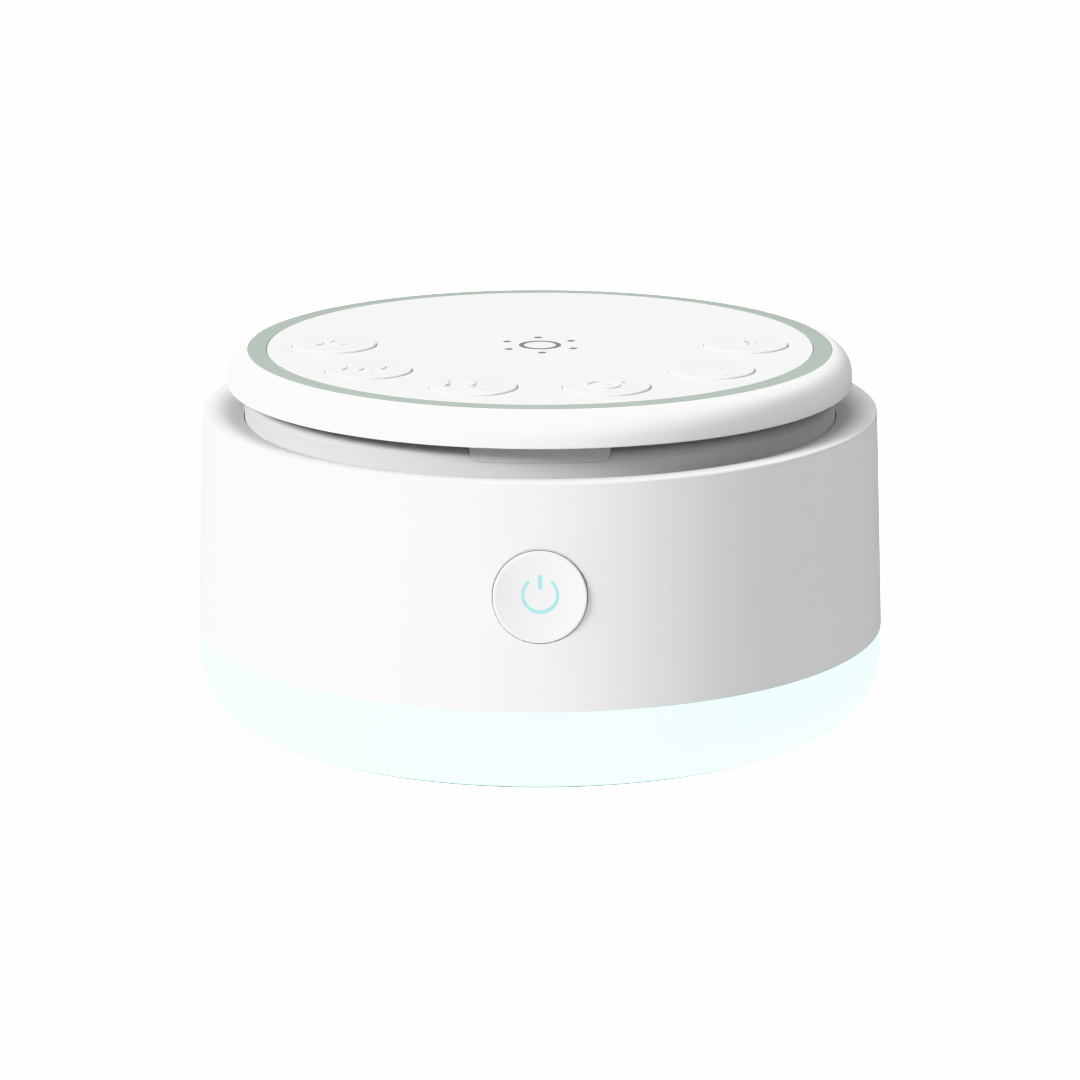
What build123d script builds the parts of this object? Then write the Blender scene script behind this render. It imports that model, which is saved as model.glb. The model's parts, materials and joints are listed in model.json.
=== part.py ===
from build123d import *
from math import acos, atan2, cos, degrees, radians, sin, sqrt
import os

os.makedirs("parts", exist_ok=True)

# A free-standing white noise sound machine. A round cap with six keys floats over a drum on four
# legs. The speaker in the drum's deck fires up against the cap, and the sound leaves all round,
# through the slot between drum and cap. A translucent ring round the base glows.
# Sizes are in millimetres and angles in degrees. The origin is the centre of the surface that the
# machine stands on, +Z is up and the power button faces -Y.

# ---------------------------------------------------------------- driving dimensions

# Whole object
overall_radius = 55.0
overall_height = 58.6

# Clearances
fit_gap = 0.1
slide_gap = 0.2
stop_gap = 0.05
thread_gap = 0.05
screw_gap = 0.25

# Cross recess of every screw, as shares of its head's radius and height
drive_reach = 0.58
drive_width = 0.3
drive_depth = 0.55

# Housing wall, rim and the ledge that slopes down to the drum
wall_thickness = 2.2
wall_draft = 1.33
rim_drop = 9.5
rim_fillet = 0.45
lip_width = 0.87
ledge_drop = 1.2
ledge_thickness = 2.0
throat_gap = 0.2
neck_wall = 2.0

# Light ring
light_ring_height = 13.64
light_ring_wall = 2.0
light_ring_setback = 0.1
light_ring_corner_width = 6.7
light_ring_corner_height = 9.64
light_ring_lip_width = 3.2
light_ring_prisms = 3
tongue_lap = 1.2
tongue_height = 1.5

# Base plate, posts and feet
foot_count = 4
foot_proud = 0.6
foot_radius = 4.5
foot_thickness = 1.4
foot_circle = 36.0
base_flange_width = 1.9
base_flange_thickness = 1.2
base_post_radius = 4.4
base_post_circle = 39.4
base_post_angle = 45.0
base_screw_count = 4
base_screw_head_radius = 2.7
base_screw_head_height = 1.8
base_screw_shank_radius = 1.4
base_screw_length = 16.0
base_screw_seat = 3.0

# Reflector, LED board and LEDs
reflector_wall = 1.0
led_board_thickness = 1.2
led_board_width = 6.5
led_board_edge_gap = 1.0
led_count = 24
led_size = 2.8
led_height = 0.9

# Battery
battery_length = 46.0
battery_width = 34.0
battery_thickness = 8.0
battery_corner = 2.0
battery_pad_thickness = 0.8
battery_pad_margin = 3.0

# Chassis plate and the housing's bosses
chassis_thickness = 1.6
chassis_edge_gap = 0.35
boss_radius = 3.4
boss_height = 10.0
boss_rib_thickness = 1.6
wire_slot_length = 10.0
wire_slot_width = 4.0
wire_slot_y = -38.0

# Main board
board_thickness = 1.6
board_width = 46.0
board_front = 34.0
board_edge_gap = 2.2
standoff_height = 1.7
standoff_radius = 2.6
standoff_x = 19.0
standoff_front = 30.0
standoff_rear = 40.0
board_screw_head_radius = 2.0
board_screw_head_height = 1.2
board_screw_shank_radius = 0.9
board_screw_length = 4.0
# Each part that stands on the main board: its centre, then its length, width and height
board_parts_layout = {
    "processor": ((-10.0, -16.0), (10.0, 10.0, 1.4)),
    "amplifier": ((9.0, -18.0), (6.5, 6.5, 1.2)),
    "sound_memory": ((-12.0, 4.0), (6.0, 5.0, 1.5)),
    "charger": ((10.0, 22.0), (5.0, 5.0, 1.2)),
    "inductor": ((16.0, 12.0), (5.0, 5.0, 2.2)),
    "battery_socket": ((0.0, -29.0), (8.0, 4.0, 2.4)),
    "speaker_socket": ((14.0, -4.0), (4.0, 6.0, 2.2)),
    "light_socket": ((-19.0, -22.0), (4.0, 6.0, 2.2)),
}

# USB-C socket
usb_width = 8.94
usb_height = 3.26
usb_depth = 7.35
usb_shell = 0.3
usb_mouth_depth = 6.2
usb_tongue_width = 6.7
usb_tongue_thickness = 0.7
usb_setback = 1.0
usb_hole_gap = 0.3
plug_recess_width = 12.4
plug_recess_height = 6.6
plug_recess_depth = 0.8

# Power button and what is behind it
button_drop = 26.67
button_radius = 6.93
button_gap = 0.37
button_proud = 0.15
button_dish = 0.6
button_chamfer = 0.3
button_face_thickness = 1.7
button_skirt = 1.2
button_flange_width = 1.6
button_flange_thickness = 0.9
button_travel = 0.6
collar_wall = 1.9
collar_depth = 3.2
icon_radius = 2.6
icon_line = 0.42
icon_opening = 40.0
icon_bar_width = 0.63
icon_bar_low = 0.9
icon_bar_high = 2.95
icon_rise = 0.24
light_pipe_flange_thickness = 0.7
light_pipe_stem_radius = 1.5
switch_size = 6.0
power_switch_height = 3.2
plunger_radius = 1.5
plunger_stand = 0.9
plunger_root = 0.3
power_board_width = 30.0
power_board_height = 15.0
power_board_thickness = 1.2
power_boss_x = 12.5
power_boss_radius = 2.2
power_led_x = 5.2
power_led_size = 2.0
power_led_height = 0.8

# Drum and speaker deck
cap_inset = 5.4
cap_overhang = 2.6
drum_wall = 2.4
drum_shoulder_radius = 1.7
slot_height = 1.15
deck_thickness = 2.0
deck_depth = 7.1
deck_flange_gap = 0.17
deck_screw_count = 4
deck_screw_angle = 22.5
deck_screw_inset = 1.8
deck_boss_radius = 2.1
deck_screw_head_radius = 1.8
deck_screw_head_height = 1.2
deck_screw_shank_radius = 0.95
deck_screw_length = 4.0
mouth_gap = 0.5
mouth_flare = 0.8

# Speaker
speaker_radius = 26.0
speaker_flange_width = 4.3
speaker_flange_thickness = 1.2
speaker_web_thickness = 1.1
speaker_basket_depth = 9.5
speaker_seat_radius = 15.0
speaker_seat_bore = 9.0
speaker_window_count = 4
speaker_window_width = 13.0
speaker_window_height = 4.6
gasket_thickness = 0.8
gasket_width = 3.1
surround_rim = 1.2
surround_thickness = 0.4
surround_roll = 3.8
cone_thickness = 0.5
cone_depth = 6.2
cone_neck = 6.6
dust_cap_height = 2.4
dust_cap_radius = 7.6
coil_wall = 0.4
coil_length = 6.6
spider_thickness = 0.3
pole_radius = 5.6
top_plate_thickness = 1.4
top_plate_bore = 7.2
top_plate_radius = 14.4
magnet_radius = 15.6
magnet_bore = 8.8
magnet_height = 5.6
yoke_radius = 14.0
yoke_thickness = 1.6
speaker_screw_count = 4
speaker_screw_angle = 45.0
speaker_screw_inset = 1.7
speaker_screw_head_radius = 1.4
speaker_screw_head_height = 1.0
speaker_screw_shank_radius = 0.75
speaker_screw_length = 3.4

# Cap
cap_depth = 5.4
shoulder_radius = 3.9
cap_wall = 2.0
cap_edge_chamfer = 0.12
accent_width = 2.95
accent_depth = 1.15
accent_slope = 0.08
accent_inset = 3.25
panel_thickness = 1.6
panel_ledge_width = 2.2
panel_ledge_thickness = 1.2
base_rim_thickness = 1.4
base_rim_recess = 0.1
tub_gap = 2.0
tub_wall = 1.4
tub_floor = 1.4
tub_depth = 3.35
deflector_radius = 14.0
deflector_height = 4.2
deflector_waist_radius = 8.5
deflector_waist_drop = 1.4
deflector_tip_radius = 2.5
leg_width = 21.0
leg_corner = 1.3
leg_side_gap = 0.15
leg_seat_gap = 0.04
column_count = 4
column_angle = 45.0
column_radius = 3.0
column_circle = 37.0
cap_screw_head_radius = 2.3
cap_screw_head_height = 1.4
cap_screw_shank_radius = 1.15
cap_screw_length = 8.0

# Keys, their switches and their board
key_radius = 6.6
key_edge_gap = 1.1
key_pitch = 36.0
key_first_angle = 180.0
key_proud = 0.3
key_chamfer = 0.2
key_wall = 1.2
key_flange_width = 0.8
key_flange_thickness = 0.9
key_travel = 0.4
key_stem_radius = 1.6
key_switch_height = 2.0
key_board_thickness = 1.2
key_board_gap = 0.6
key_board_boss_radius = 2.4
key_board_screw_circle = 20.0
key_board_screw_count = 4
key_board_screw_angle = 0.0
key_board_screw_head_radius = 1.7
key_board_screw_head_height = 1.0
key_board_screw_shank_radius = 0.75
key_board_screw_length = 2.6

# Ribbon cable from the key board down to the main board
ribbon_width = 8.0
ribbon_thickness = 0.4
ribbon_speaker_gap = 5.0
ribbon_grip = 0.6
connector_width = 10.0
connector_depth = 2.8
connector_height = 2.6

key_names = (
    "fan_key",
    "rain_key",
    "lullaby_key",
    "timer_key",
    "volume_down_key",
    "volume_up_key",
)

# ---------------------------------------------------------------- levels and radii worked out

top_z = overall_height
cap_edge_z = top_z - cap_depth
rim_z = top_z - rim_drop
trough_z = rim_z - ledge_drop
base_z = foot_proud
seam_z = base_z + light_ring_height
base_top_z = base_z + light_ring_wall
base_flange_z = base_top_z + base_flange_thickness
chassis_top_z = seam_z + chassis_thickness
led_board_z = seam_z - led_board_thickness
led_bottom_z = led_board_z - led_height
board_z = chassis_top_z + standoff_height
board_top_z = board_z + board_thickness
usb_z = board_top_z + usb_height / 2

rim_radius = overall_radius - wall_draft
lip_radius = rim_radius - lip_width
cap_radius = overall_radius - cap_inset
drum_radius = cap_radius - cap_overhang
drum_inner = drum_radius - drum_wall
throat_radius = drum_radius + throat_gap
ledge_width = lip_radius - throat_radius
ledge_radius = (ledge_width**2 + ledge_drop**2) / (2 * ledge_drop)
light_ring_radius = overall_radius - light_ring_setback
light_ring_flat = light_ring_radius - light_ring_corner_width
light_ring_bore = light_ring_flat - light_ring_lip_width
cavity_radius = light_ring_radius - light_ring_wall

drum_top_z = cap_edge_z + base_rim_recess - slot_height
notch_z = drum_top_z - drum_shoulder_radius
deck_top_z = drum_top_z - deck_depth - drum_shoulder_radius
deck_z = deck_top_z - deck_thickness
deck_flange_radius = rim_radius - wall_thickness - deck_flange_gap
deck_screw_circle = deck_flange_radius - deck_screw_inset
frame_inner = speaker_radius - speaker_flange_width
mouth_radius = frame_inner + mouth_gap
ribbon_y = speaker_radius + ribbon_speaker_gap

tub_radius = drum_inner - tub_gap
tub_inner = tub_radius - tub_wall
tub_z = cap_edge_z + base_rim_recess - tub_depth
tub_floor_z = tub_z + tub_floor
key_board_z = tub_floor_z + key_board_gap
key_board_top_z = key_board_z + key_board_thickness
panel_z = top_z - panel_thickness
accent_outer = cap_radius - accent_inset
accent_inner = accent_outer - accent_width
panel_ledge_inner = accent_inner - panel_ledge_width
key_circle = panel_ledge_inner - key_edge_gap - key_flange_width - key_radius
cap_wall_inner = cap_radius - cap_wall
cap_base_top_z = cap_edge_z + base_rim_recess + base_rim_thickness


def wall_radius(z):
    """Outer radius of the drafted housing wall at height z."""
    return overall_radius - wall_draft * (z - seam_z) / (rim_z - seam_z)


def ledge_z(radius):
    """Height of the ledge's curved face at a radius between throat and lip."""
    return rim_z - ledge_radius + sqrt(ledge_radius**2 - (lip_radius - radius) ** 2)


def sag(radius, offset):
    """How far a round wall falls back at a sideways offset from its nearest point."""
    return radius - sqrt(radius**2 - offset**2)


def screw(head_radius, head_height, shank_radius, length):
    """A cross-recess screw whose head's underside is at z = 0 and whose shank points up."""
    with BuildPart(mode=Mode.PRIVATE) as fastener:
        with BuildSketch(Plane.XY.offset(-head_height)):
            Circle(head_radius)
        extrude(amount=head_height)
        with BuildSketch(Plane.XY.offset(-head_height)):
            Rectangle(2 * drive_reach * head_radius, drive_width * head_radius)
            Rectangle(drive_width * head_radius, 2 * drive_reach * head_radius)
        extrude(amount=drive_depth * head_height, mode=Mode.SUBTRACT)
        with BuildSketch(Plane.XY):
            Circle(shank_radius)
        extrude(amount=length)
    return fastener.part


# ---------------------------------------------------------------- feet, base plate, base screws

with BuildPart() as feet:
    with BuildSketch(Plane.XY):
        with PolarLocations(foot_circle, foot_count):
            Circle(foot_radius)
    extrude(amount=foot_thickness)
feet.part.label = "feet"
export_step(feet.part, "parts/feet.step")

base_plate_radius = light_ring_bore - fit_gap
with BuildPart() as base_plate:
    with BuildSketch(Plane.XY.offset(base_z)):
        Circle(base_plate_radius)
    extrude(amount=light_ring_wall)
    with BuildSketch(Plane.XY.offset(base_top_z)):
        Circle(base_plate_radius + base_flange_width)
    extrude(amount=base_flange_thickness)
    with BuildSketch(Plane.XY.offset(base_flange_z)):
        with PolarLocations(base_post_circle, base_screw_count, start_angle=base_post_angle):
            Circle(base_post_radius)
    extrude(amount=seam_z - base_flange_z)
    with BuildSketch(Plane.XY.offset(base_z)):
        with PolarLocations(foot_circle, foot_count):
            Circle(foot_radius + fit_gap)
    extrude(amount=foot_thickness - foot_proud, mode=Mode.SUBTRACT)
    with BuildSketch(Plane.XY.offset(base_z)):
        with PolarLocations(base_post_circle, base_screw_count, start_angle=base_post_angle):
            Circle(base_screw_head_radius + screw_gap)
    extrude(amount=seam_z - base_screw_seat - base_z, mode=Mode.SUBTRACT)
    with BuildSketch(Plane.XY.offset(base_z)):
        with PolarLocations(base_post_circle, base_screw_count, start_angle=base_post_angle):
            Circle(base_screw_shank_radius + screw_gap)
    extrude(amount=seam_z - base_z, mode=Mode.SUBTRACT)
base_plate.part.label = "base_plate"
export_step(base_plate.part, "parts/base_plate.step")

base_screw = screw(
    base_screw_head_radius, base_screw_head_height, base_screw_shank_radius, base_screw_length
)
base_screw_plane = Plane.XY.offset(seam_z - base_screw_seat)
with BuildPart() as base_screws:
    with Locations(base_screw_plane):
        with PolarLocations(base_post_circle, base_screw_count, start_angle=base_post_angle):
            add(base_screw)
base_screws.part.label = "base_screws"
export_step(base_screws.part, "parts/base_screws.step")

# ---------------------------------------------------------------- light ring and what lights it

with BuildPart() as light_ring:
    with BuildSketch(Plane.XZ):
        with BuildLine():
            corner_z = base_z + light_ring_corner_height
            corner = EllipticalCenterArc(
                (light_ring_flat, corner_z),
                light_ring_corner_width,
                light_ring_corner_height,
                start_angle=-90,
                arc_size=90,
            )
            # The inside follows the corner in flat steps, as a moulded diffuser's prisms do.
            inner_width = light_ring_corner_width - light_ring_wall
            inner_height = light_ring_corner_height - light_ring_wall
            prism_angle = 90 / light_ring_prisms
            inner_steps = [
                (
                    light_ring_flat + inner_width * cos(radians(step * prism_angle)),
                    corner_z - inner_height * sin(radians(step * prism_angle)),
                )
                for step in range(light_ring_prisms + 1)
            ]
            Polyline(
                corner @ 1,
                (light_ring_radius, seam_z),
                (overall_radius - tongue_lap - fit_gap, seam_z),
                (overall_radius - tongue_lap - fit_gap, seam_z + tongue_height),
                (cavity_radius, seam_z + tongue_height),
                *inner_steps,
                (light_ring_bore, base_top_z),
                (light_ring_bore, base_z),
                corner @ 0,
            )
        make_face()
    revolve(axis=Axis.Z)
light_ring.part.label = "light_ring"
export_step(light_ring.part, "parts/light_ring.step")

led_board_outer = cavity_radius - led_board_edge_gap
led_board_inner = led_board_outer - led_board_width
with BuildPart() as led_board:
    with BuildSketch(Plane.XY.offset(led_board_z)):
        Circle(led_board_outer)
        Circle(led_board_inner, mode=Mode.SUBTRACT)
    extrude(amount=led_board_thickness)
led_board.part.label = "led_board"
export_step(led_board.part, "parts/led_board.step")

led_circle = (led_board_outer + led_board_inner) / 2
with BuildPart() as led_chips:
    with BuildSketch(Plane.XY.offset(led_bottom_z)):
        with PolarLocations(led_circle, led_count):
            Rectangle(led_size, led_size)
    extrude(amount=led_height)
led_chips.part.label = "led_chips"
export_step(led_chips.part, "parts/led_chips.step")

reflector_inner = led_board_inner - reflector_wall
with BuildPart() as reflector:
    with BuildSketch(Plane.XZ):
        with BuildLine():
            Polyline(
                (reflector_inner, base_flange_z),
                (reflector_inner + 2 * reflector_wall, base_flange_z),
                (reflector_inner + reflector_wall - fit_gap, led_board_z),
                (reflector_inner + reflector_wall - fit_gap, seam_z),
                (reflector_inner, seam_z),
                close=True,
            )
        make_face()
    revolve(axis=Axis.Z)
reflector.part.label = "reflector"
export_step(reflector.part, "parts/reflector.step")

# ---------------------------------------------------------------- battery

with BuildPart() as battery_pad:
    with BuildSketch(Plane.XY.offset(base_flange_z)):
        Rectangle(battery_length - 2 * battery_pad_margin, battery_width - 2 * battery_pad_margin)
    extrude(amount=battery_pad_thickness)
battery_pad.part.label = "battery_pad"
export_step(battery_pad.part, "parts/battery_pad.step")

with BuildPart() as battery_cell:
    with BuildSketch(Plane.XY.offset(base_flange_z + battery_pad_thickness)):
        RectangleRounded(battery_length, battery_width, battery_corner)
    extrude(amount=battery_thickness)
battery_cell.part.label = "battery_cell"
export_step(battery_cell.part, "parts/battery_cell.step")

# ---------------------------------------------------------------- chassis plate

standoff_points = [
    (x, y) for x in (-standoff_x, standoff_x) for y in (-standoff_front, standoff_rear)
]
with BuildPart() as chassis:
    with BuildSketch(Plane.XY.offset(seam_z)):
        Circle(cavity_radius - chassis_edge_gap)
        with Locations((0, wire_slot_y)):
            SlotOverall(wire_slot_length, wire_slot_width, mode=Mode.SUBTRACT)
    extrude(amount=chassis_thickness)
    with BuildSketch(Plane.XY.offset(chassis_top_z)):
        with Locations(*standoff_points):
            Circle(standoff_radius)
    extrude(amount=standoff_height)
    with BuildSketch(Plane.XY.offset(seam_z)):
        with PolarLocations(base_post_circle, base_screw_count, start_angle=base_post_angle):
            Circle(base_screw_shank_radius + screw_gap)
    extrude(amount=chassis_thickness, mode=Mode.SUBTRACT)
    with BuildSketch(Plane.XY.offset(board_z)):
        with Locations(*standoff_points):
            Circle(board_screw_shank_radius + thread_gap)
    extrude(amount=-(board_screw_length - board_thickness + fit_gap), mode=Mode.SUBTRACT)
chassis.part.label = "chassis"
export_step(chassis.part, "parts/chassis.step")

# ---------------------------------------------------------------- main board

board_rear = wall_radius(board_z) - wall_thickness - board_edge_gap
with BuildPart() as main_board:
    with BuildSketch(Plane.XY.offset(board_z)):
        with Locations((0, (board_rear - board_front) / 2)):
            Rectangle(board_width, board_rear + board_front)
        Circle(board_rear, mode=Mode.INTERSECT)
        with Locations(*standoff_points):
            Circle(board_screw_shank_radius + screw_gap, mode=Mode.SUBTRACT)
    extrude(amount=board_thickness)
main_board.part.label = "main_board"
export_step(main_board.part, "parts/main_board.step")

board_screw = screw(
    board_screw_head_radius, board_screw_head_height, board_screw_shank_radius, board_screw_length
)
with BuildPart() as board_screws:
    with Locations(*[Location((x, y, board_top_z), (180, 0, 0)) for x, y in standoff_points]):
        add(board_screw)
board_screws.part.label = "board_screws"
export_step(board_screws.part, "parts/board_screws.step")

with BuildPart() as board_parts:
    for (x, y), (length, width, height) in board_parts_layout.values():
        with BuildSketch(Plane.XY.offset(board_top_z)):
            with Locations((x, y)):
                Rectangle(length, width)
        extrude(amount=height)
board_parts.part.label = "board_parts"
export_step(board_parts.part, "parts/board_parts.step")

# ---------------------------------------------------------------- USB-C socket

usb_mouth_y = wall_radius(usb_z) - usb_setback
usb_plane = Plane(origin=(0, usb_mouth_y, usb_z), x_dir=(-1, 0, 0), z_dir=(0, 1, 0))
with BuildPart() as usb_socket:
    with BuildSketch(usb_plane):
        RectangleRounded(usb_width, usb_height, usb_height / 2 - usb_shell)
    extrude(amount=-usb_depth)
    with BuildSketch(usb_plane):
        RectangleRounded(
            usb_width - 2 * usb_shell,
            usb_height - 2 * usb_shell,
            usb_height / 2 - 2 * usb_shell,
        )
    extrude(amount=-usb_mouth_depth, mode=Mode.SUBTRACT)
    with BuildSketch(usb_plane.offset(-usb_mouth_depth)):
        Rectangle(usb_tongue_width, usb_tongue_thickness)
    extrude(amount=usb_mouth_depth - usb_shell)
usb_socket.part.label = "usb_socket"
export_step(usb_socket.part, "parts/usb_socket.step")

# ---------------------------------------------------------------- housing

button_z = top_z - button_drop
button_wall = wall_radius(button_z)
wall_slope = degrees(atan2(wall_draft, rim_z - seam_z))
button_plane = Plane(
    origin=(0, -button_wall, button_z),
    x_dir=(1, 0, 0),
    z_dir=(0, -cos(radians(wall_slope)), sin(radians(wall_slope))),
)
button_hole = button_radius + button_gap
collar_radius = button_hole + collar_wall
power_boss_start = sag(button_wall, power_boss_x) + wall_thickness / 2
light_pipe_top = button_proud - button_dish - button_face_thickness
button_back = -collar_depth - stop_gap - button_flange_thickness
power_switch_top = button_back - button_travel - stop_gap
power_board_front = power_switch_top - power_switch_height
housing_inner = overall_radius - wall_thickness
shelf_z = ledge_z(throat_radius + neck_wall) - ledge_thickness
shelf_end_radius = lip_radius - lip_width
shelf_end_z = rim_z - ledge_thickness
usb_recess_y = wall_radius(usb_z) - plug_recess_depth
usb_recess_plane = Plane(origin=(0, usb_recess_y, usb_z), x_dir=(-1, 0, 0), z_dir=(0, 1, 0))
rib_end = housing_inner + wall_thickness / 4
rib_middle = (base_post_circle + rib_end) / 2

with BuildPart() as body_shell:
    with BuildSketch(Plane.XZ):
        with BuildLine():
            outer_wall = Line((overall_radius, seam_z), (rim_radius, rim_z))
            lip = Line(outer_wall @ 1, (lip_radius, rim_z))
            ledge = TangentArc(lip @ 1, (throat_radius, trough_z), tangent=(-1, 0))
            Polyline(
                ledge @ 1,
                (throat_radius, deck_top_z - stop_gap),
                (throat_radius + neck_wall, deck_top_z - stop_gap),
                (throat_radius + neck_wall, shelf_z),
                (shelf_end_radius, shelf_end_z),
                (wall_radius(shelf_end_z) - wall_thickness, shelf_end_z - wall_thickness),
                (housing_inner, seam_z + tongue_height + fit_gap),
                (overall_radius - tongue_lap, seam_z + tongue_height + fit_gap),
                (overall_radius - tongue_lap, seam_z),
                outer_wall @ 0,
            )
        make_face()
    revolve(axis=Axis.Z)
    rim_edge = body_shell.edges().filter_by(GeomType.CIRCLE).group_by(Axis.Z)[-1]
    fillet(rim_edge.sort_by(SortBy.RADIUS)[-1], radius=rim_fillet)
    # Bosses for the base screws, each tied to the wall by a rib.
    with BuildSketch(Plane.XY.offset(chassis_top_z)):
        with PolarLocations(base_post_circle, base_screw_count, start_angle=base_post_angle):
            Circle(boss_radius)
        with PolarLocations(rib_middle, base_screw_count, start_angle=base_post_angle):
            Rectangle(rib_end - base_post_circle, boss_rib_thickness)
    extrude(amount=boss_height)
    with BuildSketch(Plane.XY.offset(chassis_top_z)):
        with PolarLocations(base_post_circle, base_screw_count, start_angle=base_post_angle):
            Circle(base_screw_shank_radius + thread_gap)
    extrude(
        amount=base_screw_length - base_screw_seat - chassis_thickness + fit_gap,
        mode=Mode.SUBTRACT,
    )
    # Short bosses under the ledge for the deck screws.
    with BuildSketch(Plane.XY.offset(deck_top_z - stop_gap)):
        with PolarLocations(deck_screw_circle, deck_screw_count, start_angle=deck_screw_angle):
            Circle(deck_boss_radius)
    extrude(amount=shelf_end_z - deck_top_z)
    with BuildSketch(Plane.XY.offset(deck_top_z - stop_gap)):
        with PolarLocations(deck_screw_circle, deck_screw_count, start_angle=deck_screw_angle):
            Circle(deck_screw_shank_radius + thread_gap)
    extrude(amount=deck_screw_length - deck_thickness + fit_gap, mode=Mode.SUBTRACT)
    # Collar and hole for the power button, and bosses for the board behind it.
    with BuildSketch(button_plane.offset(-sag(button_wall, collar_radius) - wall_thickness / 4)):
        Circle(collar_radius)
    extrude(amount=-(collar_depth - sag(button_wall, collar_radius) - wall_thickness / 4))
    with BuildSketch(button_plane.offset(-power_boss_start)):
        with Locations((-power_boss_x, 0), (power_boss_x, 0)):
            Circle(power_boss_radius)
    extrude(amount=power_board_front + power_boss_start)
    with BuildSketch(button_plane.offset(wall_thickness)):
        Circle(button_hole)
    extrude(amount=-(collar_depth + 2 * wall_thickness), mode=Mode.SUBTRACT)
    with BuildSketch(button_plane.offset(power_board_front)):
        with Locations((-power_boss_x, 0), (power_boss_x, 0)):
            Circle(board_screw_shank_radius + thread_gap)
    extrude(amount=board_screw_length - power_board_thickness + fit_gap, mode=Mode.SUBTRACT)
    # Hole for the USB-C socket, with a recess for the plug's grip.
    with BuildSketch(usb_recess_plane):
        RectangleRounded(
            usb_width + 2 * usb_hole_gap,
            usb_height + 2 * usb_hole_gap,
            usb_height / 2,
        )
    extrude(amount=-2 * wall_thickness, mode=Mode.SUBTRACT)
    with BuildSketch(usb_recess_plane):
        SlotOverall(plug_recess_width, plug_recess_height)
    extrude(amount=wall_thickness, mode=Mode.SUBTRACT)
body_shell.part.label = "body_shell"
export_step(body_shell.part, "parts/body_shell.step")

# ---------------------------------------------------------------- power button

dish_rim = button_radius - button_chamfer
dish_radius = (dish_rim**2 + button_dish**2) / (2 * button_dish)
skirt_inner = button_radius - button_skirt
icon_plane = button_plane.offset(light_pipe_top)


def icon_sketch(grow):
    """The power sign, a broken ring and a bar, with its strokes widened by grow on each side."""
    stroke = icon_line + 2 * grow
    reach = icon_radius + stroke / 2
    notch_height = 2 * reach
    notch_half = notch_height * sin(radians(icon_opening)) / cos(radians(icon_opening))
    with BuildSketch(mode=Mode.PRIVATE) as sign:
        with Locations((0, icon_rise)):
            Circle(reach)
            Circle(icon_radius - stroke / 2, mode=Mode.SUBTRACT)
        with BuildLine():
            Polyline(
                (0, icon_rise),
                (notch_half, icon_rise + notch_height),
                (-notch_half, icon_rise + notch_height),
                close=True,
            )
        make_face(mode=Mode.SUBTRACT)
        with Locations((0, icon_rise + (icon_bar_low + icon_bar_high) / 2)):
            Rectangle(icon_bar_width + 2 * grow, icon_bar_high - icon_bar_low + 2 * grow)
    return sign.sketch


with BuildPart() as power_button:
    with BuildSketch(button_plane.offset(button_proud)):
        Circle(button_radius)
    extrude(amount=button_back - button_proud)
    with BuildSketch(button_plane.offset(button_back)):
        Circle(button_radius + button_flange_width)
    extrude(amount=button_flange_thickness)
    front_edge = power_button.edges().filter_by(GeomType.CIRCLE).sort_by(Axis.Y)[0]
    chamfer(front_edge, length=button_chamfer)
    with Locations(button_plane.offset(button_proud - button_dish + dish_radius)):
        Sphere(dish_radius, mode=Mode.SUBTRACT)
    with BuildSketch(icon_plane):
        Circle(skirt_inner)
    extrude(amount=button_back - light_pipe_top, mode=Mode.SUBTRACT)
    with BuildSketch(icon_plane):
        add(icon_sketch(fit_gap / 4))
    extrude(amount=button_proud - light_pipe_top, mode=Mode.SUBTRACT)
power_button.part.label = "power_button"
export_step(power_button.part, "parts/power_button.step")

with BuildPart() as power_light_pipe:
    with BuildSketch(icon_plane):
        add(icon_sketch(0))
    extrude(amount=button_proud - light_pipe_top)
    with Locations(button_plane.offset(button_proud - button_dish + dish_radius)):
        Sphere(dish_radius, mode=Mode.SUBTRACT)
    with BuildSketch(icon_plane):
        Circle(skirt_inner - fit_gap)
    extrude(amount=-light_pipe_flange_thickness)
    with BuildSketch(icon_plane):
        Circle(light_pipe_stem_radius)
    extrude(amount=power_switch_top + plunger_stand - light_pipe_top)
power_light_pipe.part.label = "power_light_pipe"
export_step(power_light_pipe.part, "parts/power_light_pipe.step")

plunger_bore = plunger_radius + slide_gap / 2
power_bore_depth = button_travel + plunger_root + stop_gap
with BuildPart() as power_switch:
    with BuildSketch(button_plane.offset(power_switch_top)):
        Rectangle(switch_size, switch_size)
    extrude(amount=-power_switch_height)
    with BuildSketch(button_plane.offset(power_switch_top)):
        Circle(plunger_bore)
    extrude(amount=-power_bore_depth, mode=Mode.SUBTRACT)
power_switch.part.label = "power_switch"
export_step(power_switch.part, "parts/power_switch.step")

with BuildPart() as power_plunger:
    with BuildSketch(button_plane.offset(power_switch_top + plunger_stand)):
        Circle(plunger_radius)
    extrude(amount=-(plunger_stand + plunger_root))
power_plunger.part.label = "power_plunger"
export_step(power_plunger.part, "parts/power_plunger.step")

with BuildPart() as power_board:
    with BuildSketch(button_plane.offset(power_board_front)):
        Rectangle(power_board_width, power_board_height)
        with Locations((-power_boss_x, 0), (power_boss_x, 0)):
            Circle(board_screw_shank_radius + screw_gap, mode=Mode.SUBTRACT)
    extrude(amount=-power_board_thickness)
power_board.part.label = "power_board"
export_step(power_board.part, "parts/power_board.step")

with BuildPart() as power_leds:
    with BuildSketch(button_plane.offset(power_board_front)):
        with Locations((-power_led_x, 0), (power_led_x, 0)):
            Rectangle(power_led_size, power_led_size)
    extrude(amount=power_led_height)
power_leds.part.label = "power_leds"
export_step(power_leds.part, "parts/power_leds.step")

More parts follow.
